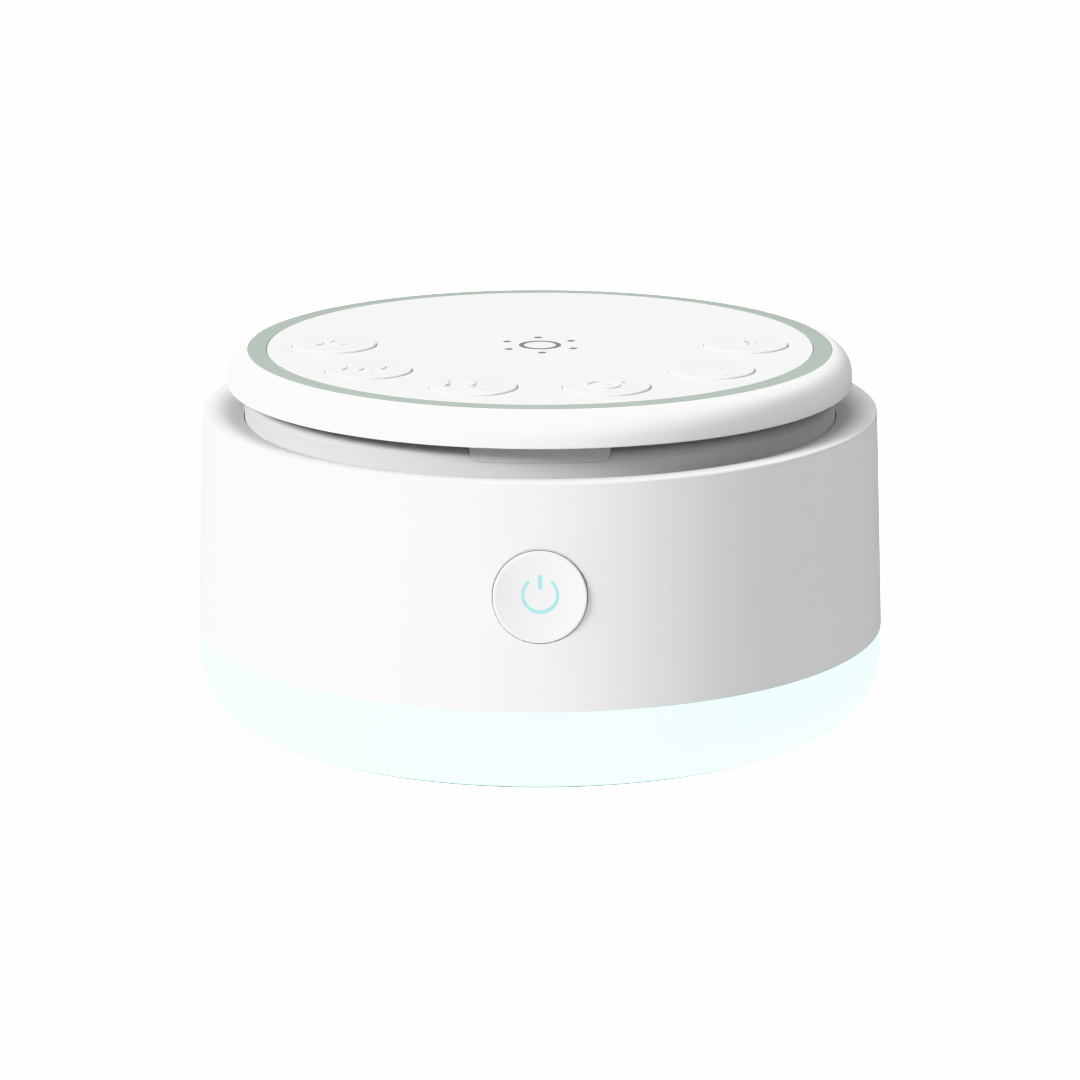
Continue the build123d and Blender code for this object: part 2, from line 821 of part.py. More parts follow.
power_screw_plane = button_plane.offset(power_board_front - power_board_thickness)
with BuildPart() as power_board_screws:
    with Locations(power_screw_plane):
        with Locations((-power_boss_x, 0), (power_boss_x, 0)):
            add(board_screw)
power_board_screws.part.label = "power_board_screws"
export_step(power_board_screws.part, "parts/power_board_screws.step")

# ---------------------------------------------------------------- drum with the speaker deck

column_bore = cap_screw_shank_radius + thread_gap
speaker_screw_circle = speaker_radius - speaker_screw_inset
with BuildPart() as speaker_deck:
    with BuildSketch(Plane.XZ):
        with BuildLine():
            shoulder = CenterArc(
                (drum_radius - drum_shoulder_radius, notch_z), drum_shoulder_radius, 0, 90
            )
            Polyline(
                shoulder @ 1,
                (drum_inner, drum_top_z),
                (drum_inner, deck_top_z),
                (mouth_radius + mouth_flare, deck_top_z),
                (mouth_radius, deck_z),
                (deck_flange_radius, deck_z),
                (deck_flange_radius, deck_top_z - stop_gap),
                (drum_radius, deck_top_z - stop_gap),
                shoulder @ 0,
            )
        make_face()
    revolve(axis=Axis.Z)
    # Notches that take the cap's legs.
    with BuildSketch(Plane.XY.offset(notch_z)):
        Rectangle(leg_width + 2 * leg_side_gap, 2 * overall_radius)
        Rectangle(2 * overall_radius, leg_width + 2 * leg_side_gap)
        Circle(drum_radius + throat_gap / 2, mode=Mode.INTERSECT)
        Circle(drum_inner - drum_wall, mode=Mode.SUBTRACT)
    extrude(amount=drum_top_z - notch_z, mode=Mode.SUBTRACT)
    notch_corners = speaker_deck.edges().filter_by(GeomType.LINE).filter_by_position(
        Axis.Z, notch_z - stop_gap, notch_z + stop_gap
    )
    fillet(notch_corners, radius=leg_corner + leg_side_gap)
    with BuildSketch(Plane.XY.offset(deck_z)):
        with PolarLocations(deck_screw_circle, deck_screw_count, start_angle=deck_screw_angle):
            Circle(deck_screw_shank_radius + screw_gap)
        with PolarLocations(column_circle, column_count, start_angle=column_angle):
            Circle(cap_screw_shank_radius + screw_gap)
    extrude(amount=deck_thickness, mode=Mode.SUBTRACT)
    with BuildSketch(Plane.XY.offset(deck_z)):
        with Locations((0, ribbon_y)):
            Rectangle(ribbon_width + 2 * screw_gap, ribbon_thickness + 2 * screw_gap)
    extrude(amount=deck_thickness, mode=Mode.SUBTRACT)
    with BuildSketch(Plane.XY.offset(deck_z)):
        with PolarLocations(
            speaker_screw_circle, speaker_screw_count, start_angle=speaker_screw_angle
        ):
            Circle(speaker_screw_shank_radius + thread_gap)
    extrude(
        amount=speaker_screw_length - speaker_flange_thickness - gasket_thickness + fit_gap,
        mode=Mode.SUBTRACT,
    )
speaker_deck.part.label = "speaker_deck"
export_step(speaker_deck.part, "parts/speaker_deck.step")

deck_screw = screw(
    deck_screw_head_radius, deck_screw_head_height, deck_screw_shank_radius, deck_screw_length
)
with BuildPart() as deck_screws:
    with Locations(Plane.XY.offset(deck_z)):
        with PolarLocations(deck_screw_circle, deck_screw_count, start_angle=deck_screw_angle):
            add(deck_screw)
deck_screws.part.label = "deck_screws"
export_step(deck_screws.part, "parts/deck_screws.step")

# ---------------------------------------------------------------- speaker

frame_top_z = deck_z - gasket_thickness
frame_z = frame_top_z - speaker_flange_thickness
seat_z = frame_z - speaker_basket_depth + speaker_flange_thickness
top_plate_z = seat_z - top_plate_thickness
magnet_z = top_plate_z - magnet_height
yoke_z = magnet_z - yoke_thickness
window_low_z = seat_z + speaker_web_thickness + fit_gap
surround_outer = frame_inner + surround_rim
surround_inner = frame_inner - surround_roll
cone_z = frame_top_z - cone_depth
coil_radius = cone_neck - fit_gap

with BuildPart() as speaker_gasket:
    with BuildSketch(Plane.XY.offset(frame_top_z)):
        Circle(speaker_radius)
        Circle(speaker_radius - gasket_width + fit_gap, mode=Mode.SUBTRACT)
        with PolarLocations(
            speaker_screw_circle, speaker_screw_count, start_angle=speaker_screw_angle
        ):
            Circle(speaker_screw_shank_radius + thread_gap, mode=Mode.SUBTRACT)
    extrude(amount=gasket_thickness)
speaker_gasket.part.label = "speaker_gasket"
export_step(speaker_gasket.part, "parts/speaker_gasket.step")

with BuildPart() as speaker_frame:
    with BuildSketch(Plane.XZ):
        with BuildLine():
            Polyline(
                (frame_inner, frame_top_z),
                (speaker_radius, frame_top_z),
                (speaker_radius, frame_z),
                (frame_inner + speaker_web_thickness, frame_z),
                (speaker_seat_radius + speaker_web_thickness, seat_z),
                (speaker_seat_bore, seat_z),
                (speaker_seat_bore, seat_z + speaker_web_thickness),
                (speaker_seat_radius, seat_z + speaker_web_thickness),
                (frame_inner, frame_z),
                close=True,
            )
        make_face()
    revolve(axis=Axis.Z)
    with BuildSketch(Plane.XY.offset(window_low_z)):
        with PolarLocations((speaker_seat_radius + frame_inner) / 2, speaker_window_count):
            Rectangle(2 * speaker_flange_width, speaker_window_width)
    extrude(amount=speaker_window_height, mode=Mode.SUBTRACT)
    with BuildSketch(Plane.XY.offset(frame_z)):
        with PolarLocations(
            speaker_screw_circle, speaker_screw_count, start_angle=speaker_screw_angle
        ):
            Circle(speaker_screw_shank_radius + thread_gap)
    extrude(amount=speaker_flange_thickness, mode=Mode.SUBTRACT)
speaker_frame.part.label = "speaker_frame"
export_step(speaker_frame.part, "parts/speaker_frame.step")

speaker_screw = screw(
    speaker_screw_head_radius,
    speaker_screw_head_height,
    speaker_screw_shank_radius,
    speaker_screw_length,
)
with BuildPart() as speaker_screws:
    with Locations(Plane.XY.offset(frame_z)):
        with PolarLocations(
            speaker_screw_circle, speaker_screw_count, start_angle=speaker_screw_angle
        ):
            add(speaker_screw)
speaker_screws.part.label = "speaker_screws"
export_step(speaker_screws.part, "parts/speaker_screws.step")

with BuildPart() as speaker_top_plate:
    with BuildSketch(Plane.XY.offset(top_plate_z)):
        Circle(top_plate_radius)
        Circle(top_plate_bore, mode=Mode.SUBTRACT)
    extrude(amount=top_plate_thickness)
speaker_top_plate.part.label = "speaker_top_plate"
export_step(speaker_top_plate.part, "parts/speaker_top_plate.step")

with BuildPart() as speaker_magnet:
    with BuildSketch(Plane.XY.offset(magnet_z)):
        Circle(magnet_radius)
        Circle(magnet_bore, mode=Mode.SUBTRACT)
    extrude(amount=magnet_height)
speaker_magnet.part.label = "speaker_magnet"
export_step(speaker_magnet.part, "parts/speaker_magnet.step")

with BuildPart() as speaker_yoke:
    with BuildSketch(Plane.XY.offset(yoke_z)):
        Circle(yoke_radius)
    extrude(amount=yoke_thickness)
    with BuildSketch(Plane.XY.offset(magnet_z)):
        Circle(pole_radius)
    extrude(amount=seat_z - magnet_z)
speaker_yoke.part.label = "speaker_yoke"
export_step(speaker_yoke.part, "parts/speaker_yoke.step")

with BuildPart() as voice_coil:
    with BuildSketch(Plane.XY.offset(cone_z)):
        Circle(coil_radius)
        Circle(coil_radius - coil_wall, mode=Mode.SUBTRACT)
    extrude(amount=-coil_length)
voice_coil.part.label = "voice_coil"
export_step(voice_coil.part, "parts/voice_coil.step")

spider_z = seat_z + speaker_web_thickness
with BuildPart() as speaker_spider:
    with BuildSketch(Plane.XY.offset(spider_z)):
        Circle(speaker_seat_radius - 2 * fit_gap)
        Circle(coil_radius + stop_gap, mode=Mode.SUBTRACT)
    extrude(amount=spider_thickness)
speaker_spider.part.label = "speaker_spider"
export_step(speaker_spider.part, "parts/speaker_spider.step")

with BuildPart() as speaker_cone:
    with BuildSketch(Plane.XZ):
        with BuildLine():
            Polyline(
                (cone_neck - coil_wall, cone_z),
                (cone_neck + cone_thickness, cone_z),
                (surround_inner + surround_rim, frame_top_z - stop_gap),
                (surround_inner - cone_thickness, frame_top_z - stop_gap),
                close=True,
            )
        make_face()
    revolve(axis=Axis.Z)
speaker_cone.part.label = "speaker_cone"
export_step(speaker_cone.part, "parts/speaker_cone.step")

roll_outer = frame_inner
roll_inner = surround_inner + surround_rim
roll_height = (roll_outer - roll_inner) / 2
roll_quarter = roll_height / 2
surround_top_z = frame_top_z + surround_thickness
with BuildPart() as speaker_surround:
    with BuildSketch(Plane.XZ):
        with BuildLine():
            Polyline(
                (surround_inner, frame_top_z),
                (surround_inner, surround_top_z),
                (roll_inner, surround_top_z),
                (roll_inner + roll_quarter, surround_top_z + roll_height),
                (roll_outer - roll_quarter, surround_top_z + roll_height),
                (roll_outer, surround_top_z),
                (surround_outer, surround_top_z),
                (surround_outer, frame_top_z),
                (roll_outer - surround_thickness / 2, frame_top_z),
                (roll_outer - roll_quarter - surround_thickness / 2, frame_top_z + roll_height),
                (roll_inner + roll_quarter + surround_thickness / 2, frame_top_z + roll_height),
                (roll_inner + surround_thickness / 2, frame_top_z),
                close=True,
            )
        make_face()
    revolve(axis=Axis.Z)
speaker_surround.part.label = "speaker_surround"
export_step(speaker_surround.part, "parts/speaker_surround.step")

dust_cap_z = (
    cone_z
    + cone_depth * (dust_cap_radius - cone_neck) / (surround_inner - cone_neck)
    + cone_thickness
)
dust_cap_top = dust_cap_z + dust_cap_height
dust_cap_shoulder = dust_cap_radius / 2
with BuildPart() as speaker_dust_cap:
    with BuildSketch(Plane.XZ):
        with BuildLine():
            Polyline(
                (dust_cap_radius, dust_cap_z),
                (dust_cap_shoulder, dust_cap_top - cone_thickness),
                (0, dust_cap_top),
                (0, dust_cap_top - cone_thickness),
                (dust_cap_shoulder, dust_cap_top - 2 * cone_thickness),
                (dust_cap_radius - cone_thickness, dust_cap_z),
                close=True,
            )
        make_face()
    revolve(axis=Axis.Z)
speaker_dust_cap.part.label = "speaker_dust_cap"
export_step(speaker_dust_cap.part, "parts/speaker_dust_cap.step")

# ---------------------------------------------------------------- cap base with legs and deflector

leg_z = notch_z + leg_seat_gap
with BuildPart() as cap_base:
    with BuildSketch(Plane.XY.offset(cap_edge_z + base_rim_recess)):
        Circle(cap_wall_inner - fit_gap)
        Circle(tub_inner, mode=Mode.SUBTRACT)
    extrude(amount=base_rim_thickness)
    with BuildSketch(Plane.XY.offset(tub_z)):
        Circle(tub_radius)
        Circle(tub_inner, mode=Mode.SUBTRACT)
    extrude(amount=tub_depth)
    with BuildSketch(Plane.XY.offset(tub_z)):
        Circle(tub_radius)
    extrude(amount=tub_floor)
    # Deflector that turns the speaker's sound outwards.
    with BuildSketch(Plane.XZ):
        with BuildLine():
            Polyline(
                (deflector_radius, tub_z),
                (deflector_waist_radius, tub_z - deflector_waist_drop),
                (deflector_tip_radius, tub_z - deflector_height),
                (0, tub_z - deflector_height),
                (0, tub_z),
                close=True,
            )
        make_face()
    revolve(axis=Axis.Z)
    # Legs that stand in the drum's notches, flush with its wall.
    with BuildSketch(Plane.XY.offset(leg_z)):
        Rectangle(leg_width, 2 * overall_radius)
        Rectangle(2 * overall_radius, leg_width)
        Circle(drum_radius, mode=Mode.INTERSECT)
        Circle(drum_inner, mode=Mode.SUBTRACT)
    extrude(amount=cap_edge_z + base_rim_recess - leg_z)
    leg_corners = cap_base.edges().filter_by(GeomType.LINE).filter_by_position(
        Axis.Z, leg_z - stop_gap, leg_z + stop_gap
    )
    fillet(leg_corners, radius=leg_corner)
    # Columns that stand on the deck and take the screws from below.
    with BuildSketch(Plane.XY.offset(deck_top_z)):
        with PolarLocations(column_circle, column_count, start_angle=column_angle):
            Circle(column_radius)
    extrude(amount=tub_z - deck_top_z)
    with BuildSketch(Plane.XY.offset(deck_top_z)):
        with PolarLocations(column_circle, column_count, start_angle=column_angle):
            Circle(column_bore)
    extrude(amount=cap_screw_length - deck_thickness + fit_gap, mode=Mode.SUBTRACT)
    # Bosses for the key board's screws.
    with BuildSketch(Plane.XY.offset(tub_floor_z)):
        with PolarLocations(
            key_board_screw_circle, key_board_screw_count, start_angle=key_board_screw_angle
        ):
            Circle(key_board_boss_radius)
    extrude(amount=key_board_gap)
    with BuildSketch(Plane.XY.offset(key_board_z)):
        with PolarLocations(
            key_board_screw_circle, key_board_screw_count, start_angle=key_board_screw_angle
        ):
            Circle(key_board_screw_shank_radius + thread_gap)
    extrude(
        amount=-(key_board_screw_length - key_board_thickness + fit_gap),
        mode=Mode.SUBTRACT,
    )
    # Opening for the ribbon's connector.
    with BuildSketch(Plane.XY.offset(tub_z)):
        with Locations((0, ribbon_y)):
            Rectangle(connector_width + 2 * screw_gap, connector_depth + 2 * screw_gap)
    extrude(amount=tub_floor, mode=Mode.SUBTRACT)
cap_base.part.label = "cap_base"
export_step(cap_base.part, "parts/cap_base.step")

cap_screw = screw(
    cap_screw_head_radius, cap_screw_head_height, cap_screw_shank_radius, cap_screw_length
)
with BuildPart() as cap_screws:
    with Locations(Plane.XY.offset(deck_z)):
        with PolarLocations(column_circle, column_count, start_angle=column_angle):
            add(cap_screw)
cap_screws.part.label = "cap_screws"
export_step(cap_screws.part, "parts/cap_screws.step")

# ---------------------------------------------------------------- cap shell, accent ring, top panel

shoulder_centre = (cap_radius - shoulder_radius, top_z - shoulder_radius)
groove_reach = (accent_outer + stop_gap - shoulder_centre[0]) / shoulder_radius
shoulder_angle = degrees(acos(groove_reach))
groove_z = top_z - accent_depth
panel_ledge_z = panel_z - panel_ledge_thickness
with BuildPart() as cap_shell:
    with BuildSketch(Plane.XZ):
        with BuildLine():
            shoulder_arc = CenterArc(shoulder_centre, shoulder_radius, 0, shoulder_angle)
            Polyline(
                shoulder_arc @ 1,
                (accent_outer + stop_gap, groove_z),
                (accent_inner - stop_gap, groove_z),
                (accent_inner - stop_gap, panel_z),
                (panel_ledge_inner, panel_z),
                (panel_ledge_inner, panel_ledge_z),
                (shoulder_centre[0], panel_ledge_z),
                (cap_wall_inner - cap_wall / 2, panel_ledge_z - stop_gap),
                (cap_wall_inner - cap_wall / 2, cap_base_top_z),
                (cap_wall_inner, cap_base_top_z),
                (cap_wall_inner, cap_edge_z),
                (cap_radius, cap_edge_z),
                shoulder_arc @ 0,
            )
        make_face()
    revolve(axis=Axis.Z)
    low_edges = cap_shell.edges().filter_by(GeomType.CIRCLE).group_by(Axis.Z)[0]
    chamfer(low_edges.sort_by(SortBy.RADIUS)[-1], length=cap_edge_chamfer)
cap_shell.part.label = "cap_shell"
export_step(cap_shell.part, "parts/cap_shell.step")

with BuildPart() as accent_ring:
    with BuildSketch(Plane.XZ):
        with BuildLine():
            Polyline(
                (accent_inner, groove_z),
                (accent_outer, groove_z),
                (accent_outer, top_z - accent_slope),
                (accent_inner, top_z),
                close=True,
            )
        make_face()
    revolve(axis=Axis.Z)
accent_ring.part.label = "accent_ring"
export_step(accent_ring.part, "parts/accent_ring.step")

key_hole = key_radius + slide_gap
with BuildPart() as top_panel:
    with BuildSketch(Plane.XY.offset(panel_z)):
        Circle(accent_inner - 2 * stop_gap)
        with PolarLocations(
            key_circle,
            len(key_names),
            start_angle=key_first_angle,
            angular_range=key_pitch * (len(key_names) - 1),
            endpoint=True,
        ):
            Circle(key_hole, mode=Mode.SUBTRACT)
    extrude(amount=panel_thickness)
top_panel.part.label = "top_panel"
export_step(top_panel.part, "parts/top_panel.step")

# ---------------------------------------------------------------- keys, switches and key board

key_angles = [key_first_angle + key_pitch * step for step in range(len(key_names))]
key_points = [
    (key_circle * cos(radians(angle)), key_circle * sin(radians(angle))) for angle in key_angles
]
key_flange_top = panel_z - stop_gap
key_flange_z = key_flange_top - key_flange_thickness
key_switch_top = key_board_top_z + key_switch_height
key_plunger_top = key_switch_top + plunger_stand
key_crown_z = top_z + key_proud
key_bore_depth = key_travel + plunger_root + stop_gap

for key_name, (key_x, key_y) in zip(key_names, key_points):
    with BuildPart() as key:
        with BuildSketch(Plane.XY.offset(key_flange_z)):
            with Locations((key_x, key_y)):
                Circle(key_radius)
        extrude(amount=key_crown_z - key_flange_z)
        crown_edge = key.edges().filter_by(GeomType.CIRCLE).sort_by(Axis.Z)[-1]
        chamfer(crown_edge, length=key_chamfer)
        with BuildSketch(Plane.XY.offset(key_flange_z)):
            with Locations((key_x, key_y)):
                Circle(key_radius + key_flange_width)
        extrude(amount=key_flange_thickness)
        with BuildSketch(Plane.XY.offset(key_flange_z)):
            with Locations((key_x, key_y)):
                Circle(key_radius - key_wall)
        extrude(amount=key_crown_z - key_wall - key_flange_z, mode=Mode.SUBTRACT)
        with BuildSketch(Plane.XY.offset(key_plunger_top)):
            with Locations((key_x, key_y)):
                Circle(key_stem_radius)
        extrude(amount=key_crown_z - key_wall - key_plunger_top)
    key.part.label = key_name
    export_step(key.part, f"parts/{key_name}.step")

    plunger_name = key_name.replace("_key", "_plunger")
    with BuildPart() as plunger:
        with BuildSketch(Plane.XY.offset(key_switch_top - plunger_root)):
            with Locations((key_x, key_y)):
                Circle(plunger_radius)
        extrude(amount=plunger_root + plunger_stand)
    plunger.part.label = plunger_name
    export_step(plunger.part, f"parts/{plunger_name}.step")

with BuildPart() as key_switches:
    with BuildSketch(Plane.XY.offset(key_board_top_z)):
        with Locations(*key_points):
            Rectangle(switch_size, switch_size)
    extrude(amount=key_switch_height)
    with BuildSketch(Plane.XY.offset(key_switch_top)):
        with Locations(*key_points):
            Circle(plunger_bore)
    extrude(amount=-key_bore_depth, mode=Mode.SUBTRACT)
key_switches.part.label = "key_switches"
export_step(key_switches.part, "parts/key_switches.step")

with BuildPart() as key_board:
    with BuildSketch(Plane.XY.offset(key_board_z)):
        Circle(tub_inner - screw_gap)
        with PolarLocations(
            key_board_screw_circle, key_board_screw_count, start_angle=key_board_screw_angle
        ):
            Circle(key_board_screw_shank_radius + screw_gap, mode=Mode.SUBTRACT)
    extrude(amount=key_board_thickness)
key_board.part.label = "key_board"
export_step(key_board.part, "parts/key_board.step")

key_board_screw = screw(
    key_board_screw_head_radius,
    key_board_screw_head_height,
    key_board_screw_shank_radius,
    key_board_screw_length,
)
with BuildPart() as key_board_screws:
    with Locations(Location((0, 0, key_board_top_z), (180, 0, 0))):
        with PolarLocations(
            key_board_screw_circle, key_board_screw_count, start_angle=key_board_screw_angle
        ):
            add(key_board_screw)
key_board_screws.part.label = "key_board_screws"
export_step(key_board_screws.part, "parts/key_board_screws.step")

# ---------------------------------------------------------------- ribbon cable and its connectors

upper_connector_z = key_board_z - connector_height
lower_connector_top = board_top_z + connector_height
ribbon_low_z = lower_connector_top - ribbon_grip
ribbon_high_z = upper_connector_z + ribbon_grip
slit_length = ribbon_width + 2 * thread_gap
slit_width = ribbon_thickness + 2 * thread_gap
with BuildPart() as ribbon_connectors:
    for housing_z, slit_z in (
        (board_top_z, ribbon_low_z),
        (upper_connector_z, upper_connector_z),
    ):
        with BuildSketch(Plane.XY.offset(housing_z)):
            with Locations((0, ribbon_y)):
                Rectangle(connector_width, connector_depth)
        extrude(amount=connector_height)
        with BuildSketch(Plane.XY.offset(slit_z)):
            with Locations((0, ribbon_y)):
                Rectangle(slit_length, slit_width)
        extrude(amount=ribbon_grip, mode=Mode.SUBTRACT)
ribbon_connectors.part.label = "ribbon_connectors"
export_step(ribbon_connectors.part, "parts/ribbon_connectors.step")

with BuildPart() as ribbon_cable:
    with BuildSketch(Plane.XY.offset(ribbon_low_z)):
        with Locations((0, ribbon_y)):
            Rectangle(ribbon_width, ribbon_thickness)
    extrude(amount=ribbon_high_z - ribbon_low_z)
ribbon_cable.part.label = "ribbon_cable"
export_step(ribbon_cable.part, "parts/ribbon_cable.step")
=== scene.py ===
"""A round white noise machine with a night light: its shells, keys, signs, lit ring and finishes.

Outlines are half sections in millimetres, (radius, height) places that are turned round +Z.
"""

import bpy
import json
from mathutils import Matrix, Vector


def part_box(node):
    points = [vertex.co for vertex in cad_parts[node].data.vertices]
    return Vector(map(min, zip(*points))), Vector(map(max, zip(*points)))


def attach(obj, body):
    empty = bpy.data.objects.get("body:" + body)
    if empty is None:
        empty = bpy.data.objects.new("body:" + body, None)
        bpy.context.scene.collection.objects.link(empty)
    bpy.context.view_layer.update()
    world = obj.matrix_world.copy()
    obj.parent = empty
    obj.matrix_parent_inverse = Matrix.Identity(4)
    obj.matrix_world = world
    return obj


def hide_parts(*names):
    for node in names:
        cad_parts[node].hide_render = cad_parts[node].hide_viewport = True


bl_info = {
    "name": "White Noise Machine",
    "version": (1, 0, 0),
    "blender": (4, 5, 0),
    "location": "View3D > Sidebar > Noise Machine",
    "description": "Builds the shells, keys, lit ring and finishes of a white noise machine",
    "category": "Add Mesh",
}

import json
import math

import bmesh
import bpy
from bpy.props import FloatProperty, FloatVectorProperty, IntProperty, PointerProperty
from mathutils import Matrix, Vector

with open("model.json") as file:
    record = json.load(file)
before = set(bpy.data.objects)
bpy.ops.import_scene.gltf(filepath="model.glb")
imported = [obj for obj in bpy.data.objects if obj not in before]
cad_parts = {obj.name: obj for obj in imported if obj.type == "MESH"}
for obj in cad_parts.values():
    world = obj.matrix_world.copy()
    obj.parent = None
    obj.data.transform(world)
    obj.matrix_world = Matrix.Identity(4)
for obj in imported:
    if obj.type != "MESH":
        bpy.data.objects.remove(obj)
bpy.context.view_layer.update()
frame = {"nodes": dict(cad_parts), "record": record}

MM = 0.001
KEY_NAMES = ("fan", "rain", "lullaby", "timer", "volume_down", "volume_up")


def extent(node):
    """A round node's outer radius, lowest height and highest height, in millimetres."""
    low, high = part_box(node)
    return (high.x - low.x) / 2 / MM, low.z / MM, high.z / MM


def middle(node):
    """The middle of a node's box."""
    low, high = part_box(node)
    return (low + high) / 2


# ---------------------------------------------------------------- settings


class MouldingSettings(bpy.types.PropertyGroup):
    """How finely the pieces are turned and how softly their edges are rounded."""

    turning_steps: IntProperty(
        name="Turning steps", description="Faces round a turned piece", default=288, min=24
    )
    key_edge: FloatProperty(
        name="Key edge", description="Rounding of the keys' crowns", default=0.00024, unit="LENGTH"
    )
    panel_edge: FloatProperty(
        name="Panel edge",
        description="Rounding of the top panel's outline and key holes",
        default=0.0001,
        unit="LENGTH",
    )
    button_edge: FloatProperty(
        name="Button edge",
        description="Rounding of the power button's rim",
        default=0.00022,
        unit="LENGTH",
    )
    sign_height: FloatProperty(
        name="Sign height",
        description="How far the key signs stand out of the keys",
        default=0.0002,
        unit="LENGTH",
    )


class FinishSettings(bpy.types.PropertyGroup):
    """Colours of the visible finishes."""

    shell_colour: FloatVectorProperty(
        name="Shell", description="Housing", subtype="COLOR", default=(0.83, 0.83, 0.828)
    )
    # Painted shade: the ledge round the drum is coloured darker than the shell, darkest towards the
    # drum, for the shade that falls under the cap.
    trough_shade_colour: FloatVectorProperty(
        name="Trough",
        description="Ledge round the drum",
        subtype="COLOR",
        default=(0.52, 0.52, 0.518),
    )
    cap_colour: FloatVectorProperty(
        name="Cap", description="Cap", subtype="COLOR", default=(0.945, 0.945, 0.942)
    )
    panel_colour: FloatVectorProperty(
        name="Panel", description="Top panel and keys", subtype="COLOR", default=(0.785, 0.79, 0.79)
    )
    button_colour: FloatVectorProperty(
        name="Button", description="Power button", subtype="COLOR", default=(0.86, 0.86, 0.858)
    )
    # Painted shade: the drum and legs are white plastic, coloured darker than the shell for the
    # shade under the cap.
    drum_shade_colour: FloatVectorProperty(
        name="Drum", description="Drum and legs", subtype="COLOR", default=(0.6, 0.6, 0.598)
    )
    sage_colour: FloatVectorProperty(
        name="Sage ring", description="Trim ring", subtype="COLOR", default=(0.375, 0.435, 0.38)
    )
    print_colour: FloatVectorProperty(
        name="Print", description="The printed sun", subtype="COLOR", default=(0.16, 0.165, 0.165)
    )
    glow_colour: FloatVectorProperty(
        name="Glow", description="Light of the ring", subtype="COLOR", default=(0.355, 0.95, 0.94)
    )
    sign_colour: FloatVectorProperty(
        name="Power sign",
        description="Light of the power sign",
        subtype="COLOR",
        default=(0.32, 0.74, 0.74),
    )


class StageSettings(bpy.types.PropertyGroup):
    """Camera, lights and backdrop."""

    lens: FloatProperty(
        name="Lens", description="Focal length on a 36 mm sensor", default=136.53, unit="CAMERA"
    )
    camera_distance: FloatProperty(
        name="Camera distance",
        description="From the machine's axis to the camera, along Y",
        default=0.63798,
        unit="LENGTH",
    )
    camera_height: FloatProperty(
        name="Camera height", description="Above the floor", default=0.19146, unit="LENGTH"
    )
    camera_pitch: FloatProperty(
        name="Camera pitch",
        description="How far the camera looks down",
        default=math.radians(14.49),
        subtype="ANGLE",
    )
    key_azimuth: FloatProperty(
        name="Key light azimuth",
        description="Direction of the key light, counted from +X",
        default=math.radians(211.0),
        subtype="ANGLE",
    )
    key_elevation: FloatProperty(
        name="Key light elevation",
        description="Height of the key light above the horizon",
        default=math.radians(32.0),
        subtype="ANGLE",
    )
    key_strength: FloatProperty(
        name="Key light strength", description="Irradiance of the key light", default=3.35
    )
    key_softness: FloatProperty(
        name="Key light softness",
        description="Apparent size of the key light",
        default=math.radians(21.0),
        subtype="ANGLE",
    )
    back_azimuth: FloatProperty(
        name="Back light azimuth",
        description="Direction of the back light, counted from +X",
        default=math.radians(50.0),
        subtype="ANGLE",
    )
    back_elevation: FloatProperty(
        name="Back light elevation",
        description="Height of the back light above the horizon",
        default=math.radians(28.0),
        subtype="ANGLE",
    )
    back_strength: FloatProperty(
        name="Back light strength", description="Irradiance of the back light", default=0.3
    )
    back_softness: FloatProperty(
        name="Back light softness",
        description="Apparent size of the back light",
        default=math.radians(30.0),
        subtype="ANGLE",
    )
    floor_bounce: FloatProperty(
        name="Floor bounce", description="Light that comes back from the table", default=2.15
    )
    side_light: FloatProperty(
        name="Side light", description="Light near the horizon", default=0.07
    )
    ceiling_light: FloatProperty(
        name="Ceiling light", description="Light from more than 30 degrees up", default=0.94
    )
    backdrop: FloatProperty(
        name="Backdrop", description="Brightness of the backdrop", default=3.2
    )


# ---------------------------------------------------------------- materials


MIX_FACTOR = 0
MIX_LOW = 6
MIX_HIGH = 7
MIX_RESULT = 2


class Signal:
    """A value on its way through a node tree. Adding, multiplying or dividing it adds nodes."""

    def __init__(self, wiring, socket):
        self.wiring = wiring
        self.socket = socket

    def math(self, operation, *values):
        inputs = dict(enumerate(values))
        return self.wiring.node("ShaderNodeMath", {"operation": operation}, inputs)

    def __add__(self, other):
        return self.math("ADD", self, other)

    def __radd__(self, other):
        return self.math("ADD", other, self)

    def __mul__(self, other):
        return self.math("MULTIPLY", self, other)

    def __rmul__(self, other):
        return self.math("MULTIPLY", other, self)

    def __truediv__(self, other):
        return self.math("DIVIDE", self, other)

    def __rtruediv__(self, other):
        return self.math("DIVIDE", other, self)


class Wiring:
    """The nodes of a finish or of the room."""

    def __init__(self, tree):
        self.tree = tree

    def feed(self, socket, value):
        """Sets a socket, or links a signal to it."""
        if isinstance(value, Signal):
            self.tree.links.new(value.socket, socket)
        else:
            socket.default_value = value

    def node(self, kind, settings=None, inputs=None, output=0):
        """Adds a node, first its settings and then its inputs, and returns one output, if any."""
        made = self.tree.nodes.new(kind)
        for name, value in (settings or {}).items():
            setattr(made, name, value)
        for key, value in (inputs or {}).items():
            self.feed(made.inputs[key], value)
        return Signal(self, made.outputs[output]) if made.outputs else None

    def ramp(self, value, low, high, start=0.0, end=1.0, course="SMOOTHSTEP"):
        """Runs from start to end while value runs from low to high."""
        inputs = {"Value": value, "From Min": low, "From Max": high, "To Min": start, "To Max": end}
        return self.node("ShaderNodeMapRange", {"interpolation_type": course}, inputs)


def finish_name(name):
    """A finish's own material name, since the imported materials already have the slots' names."""
    return f"{name}_finish"


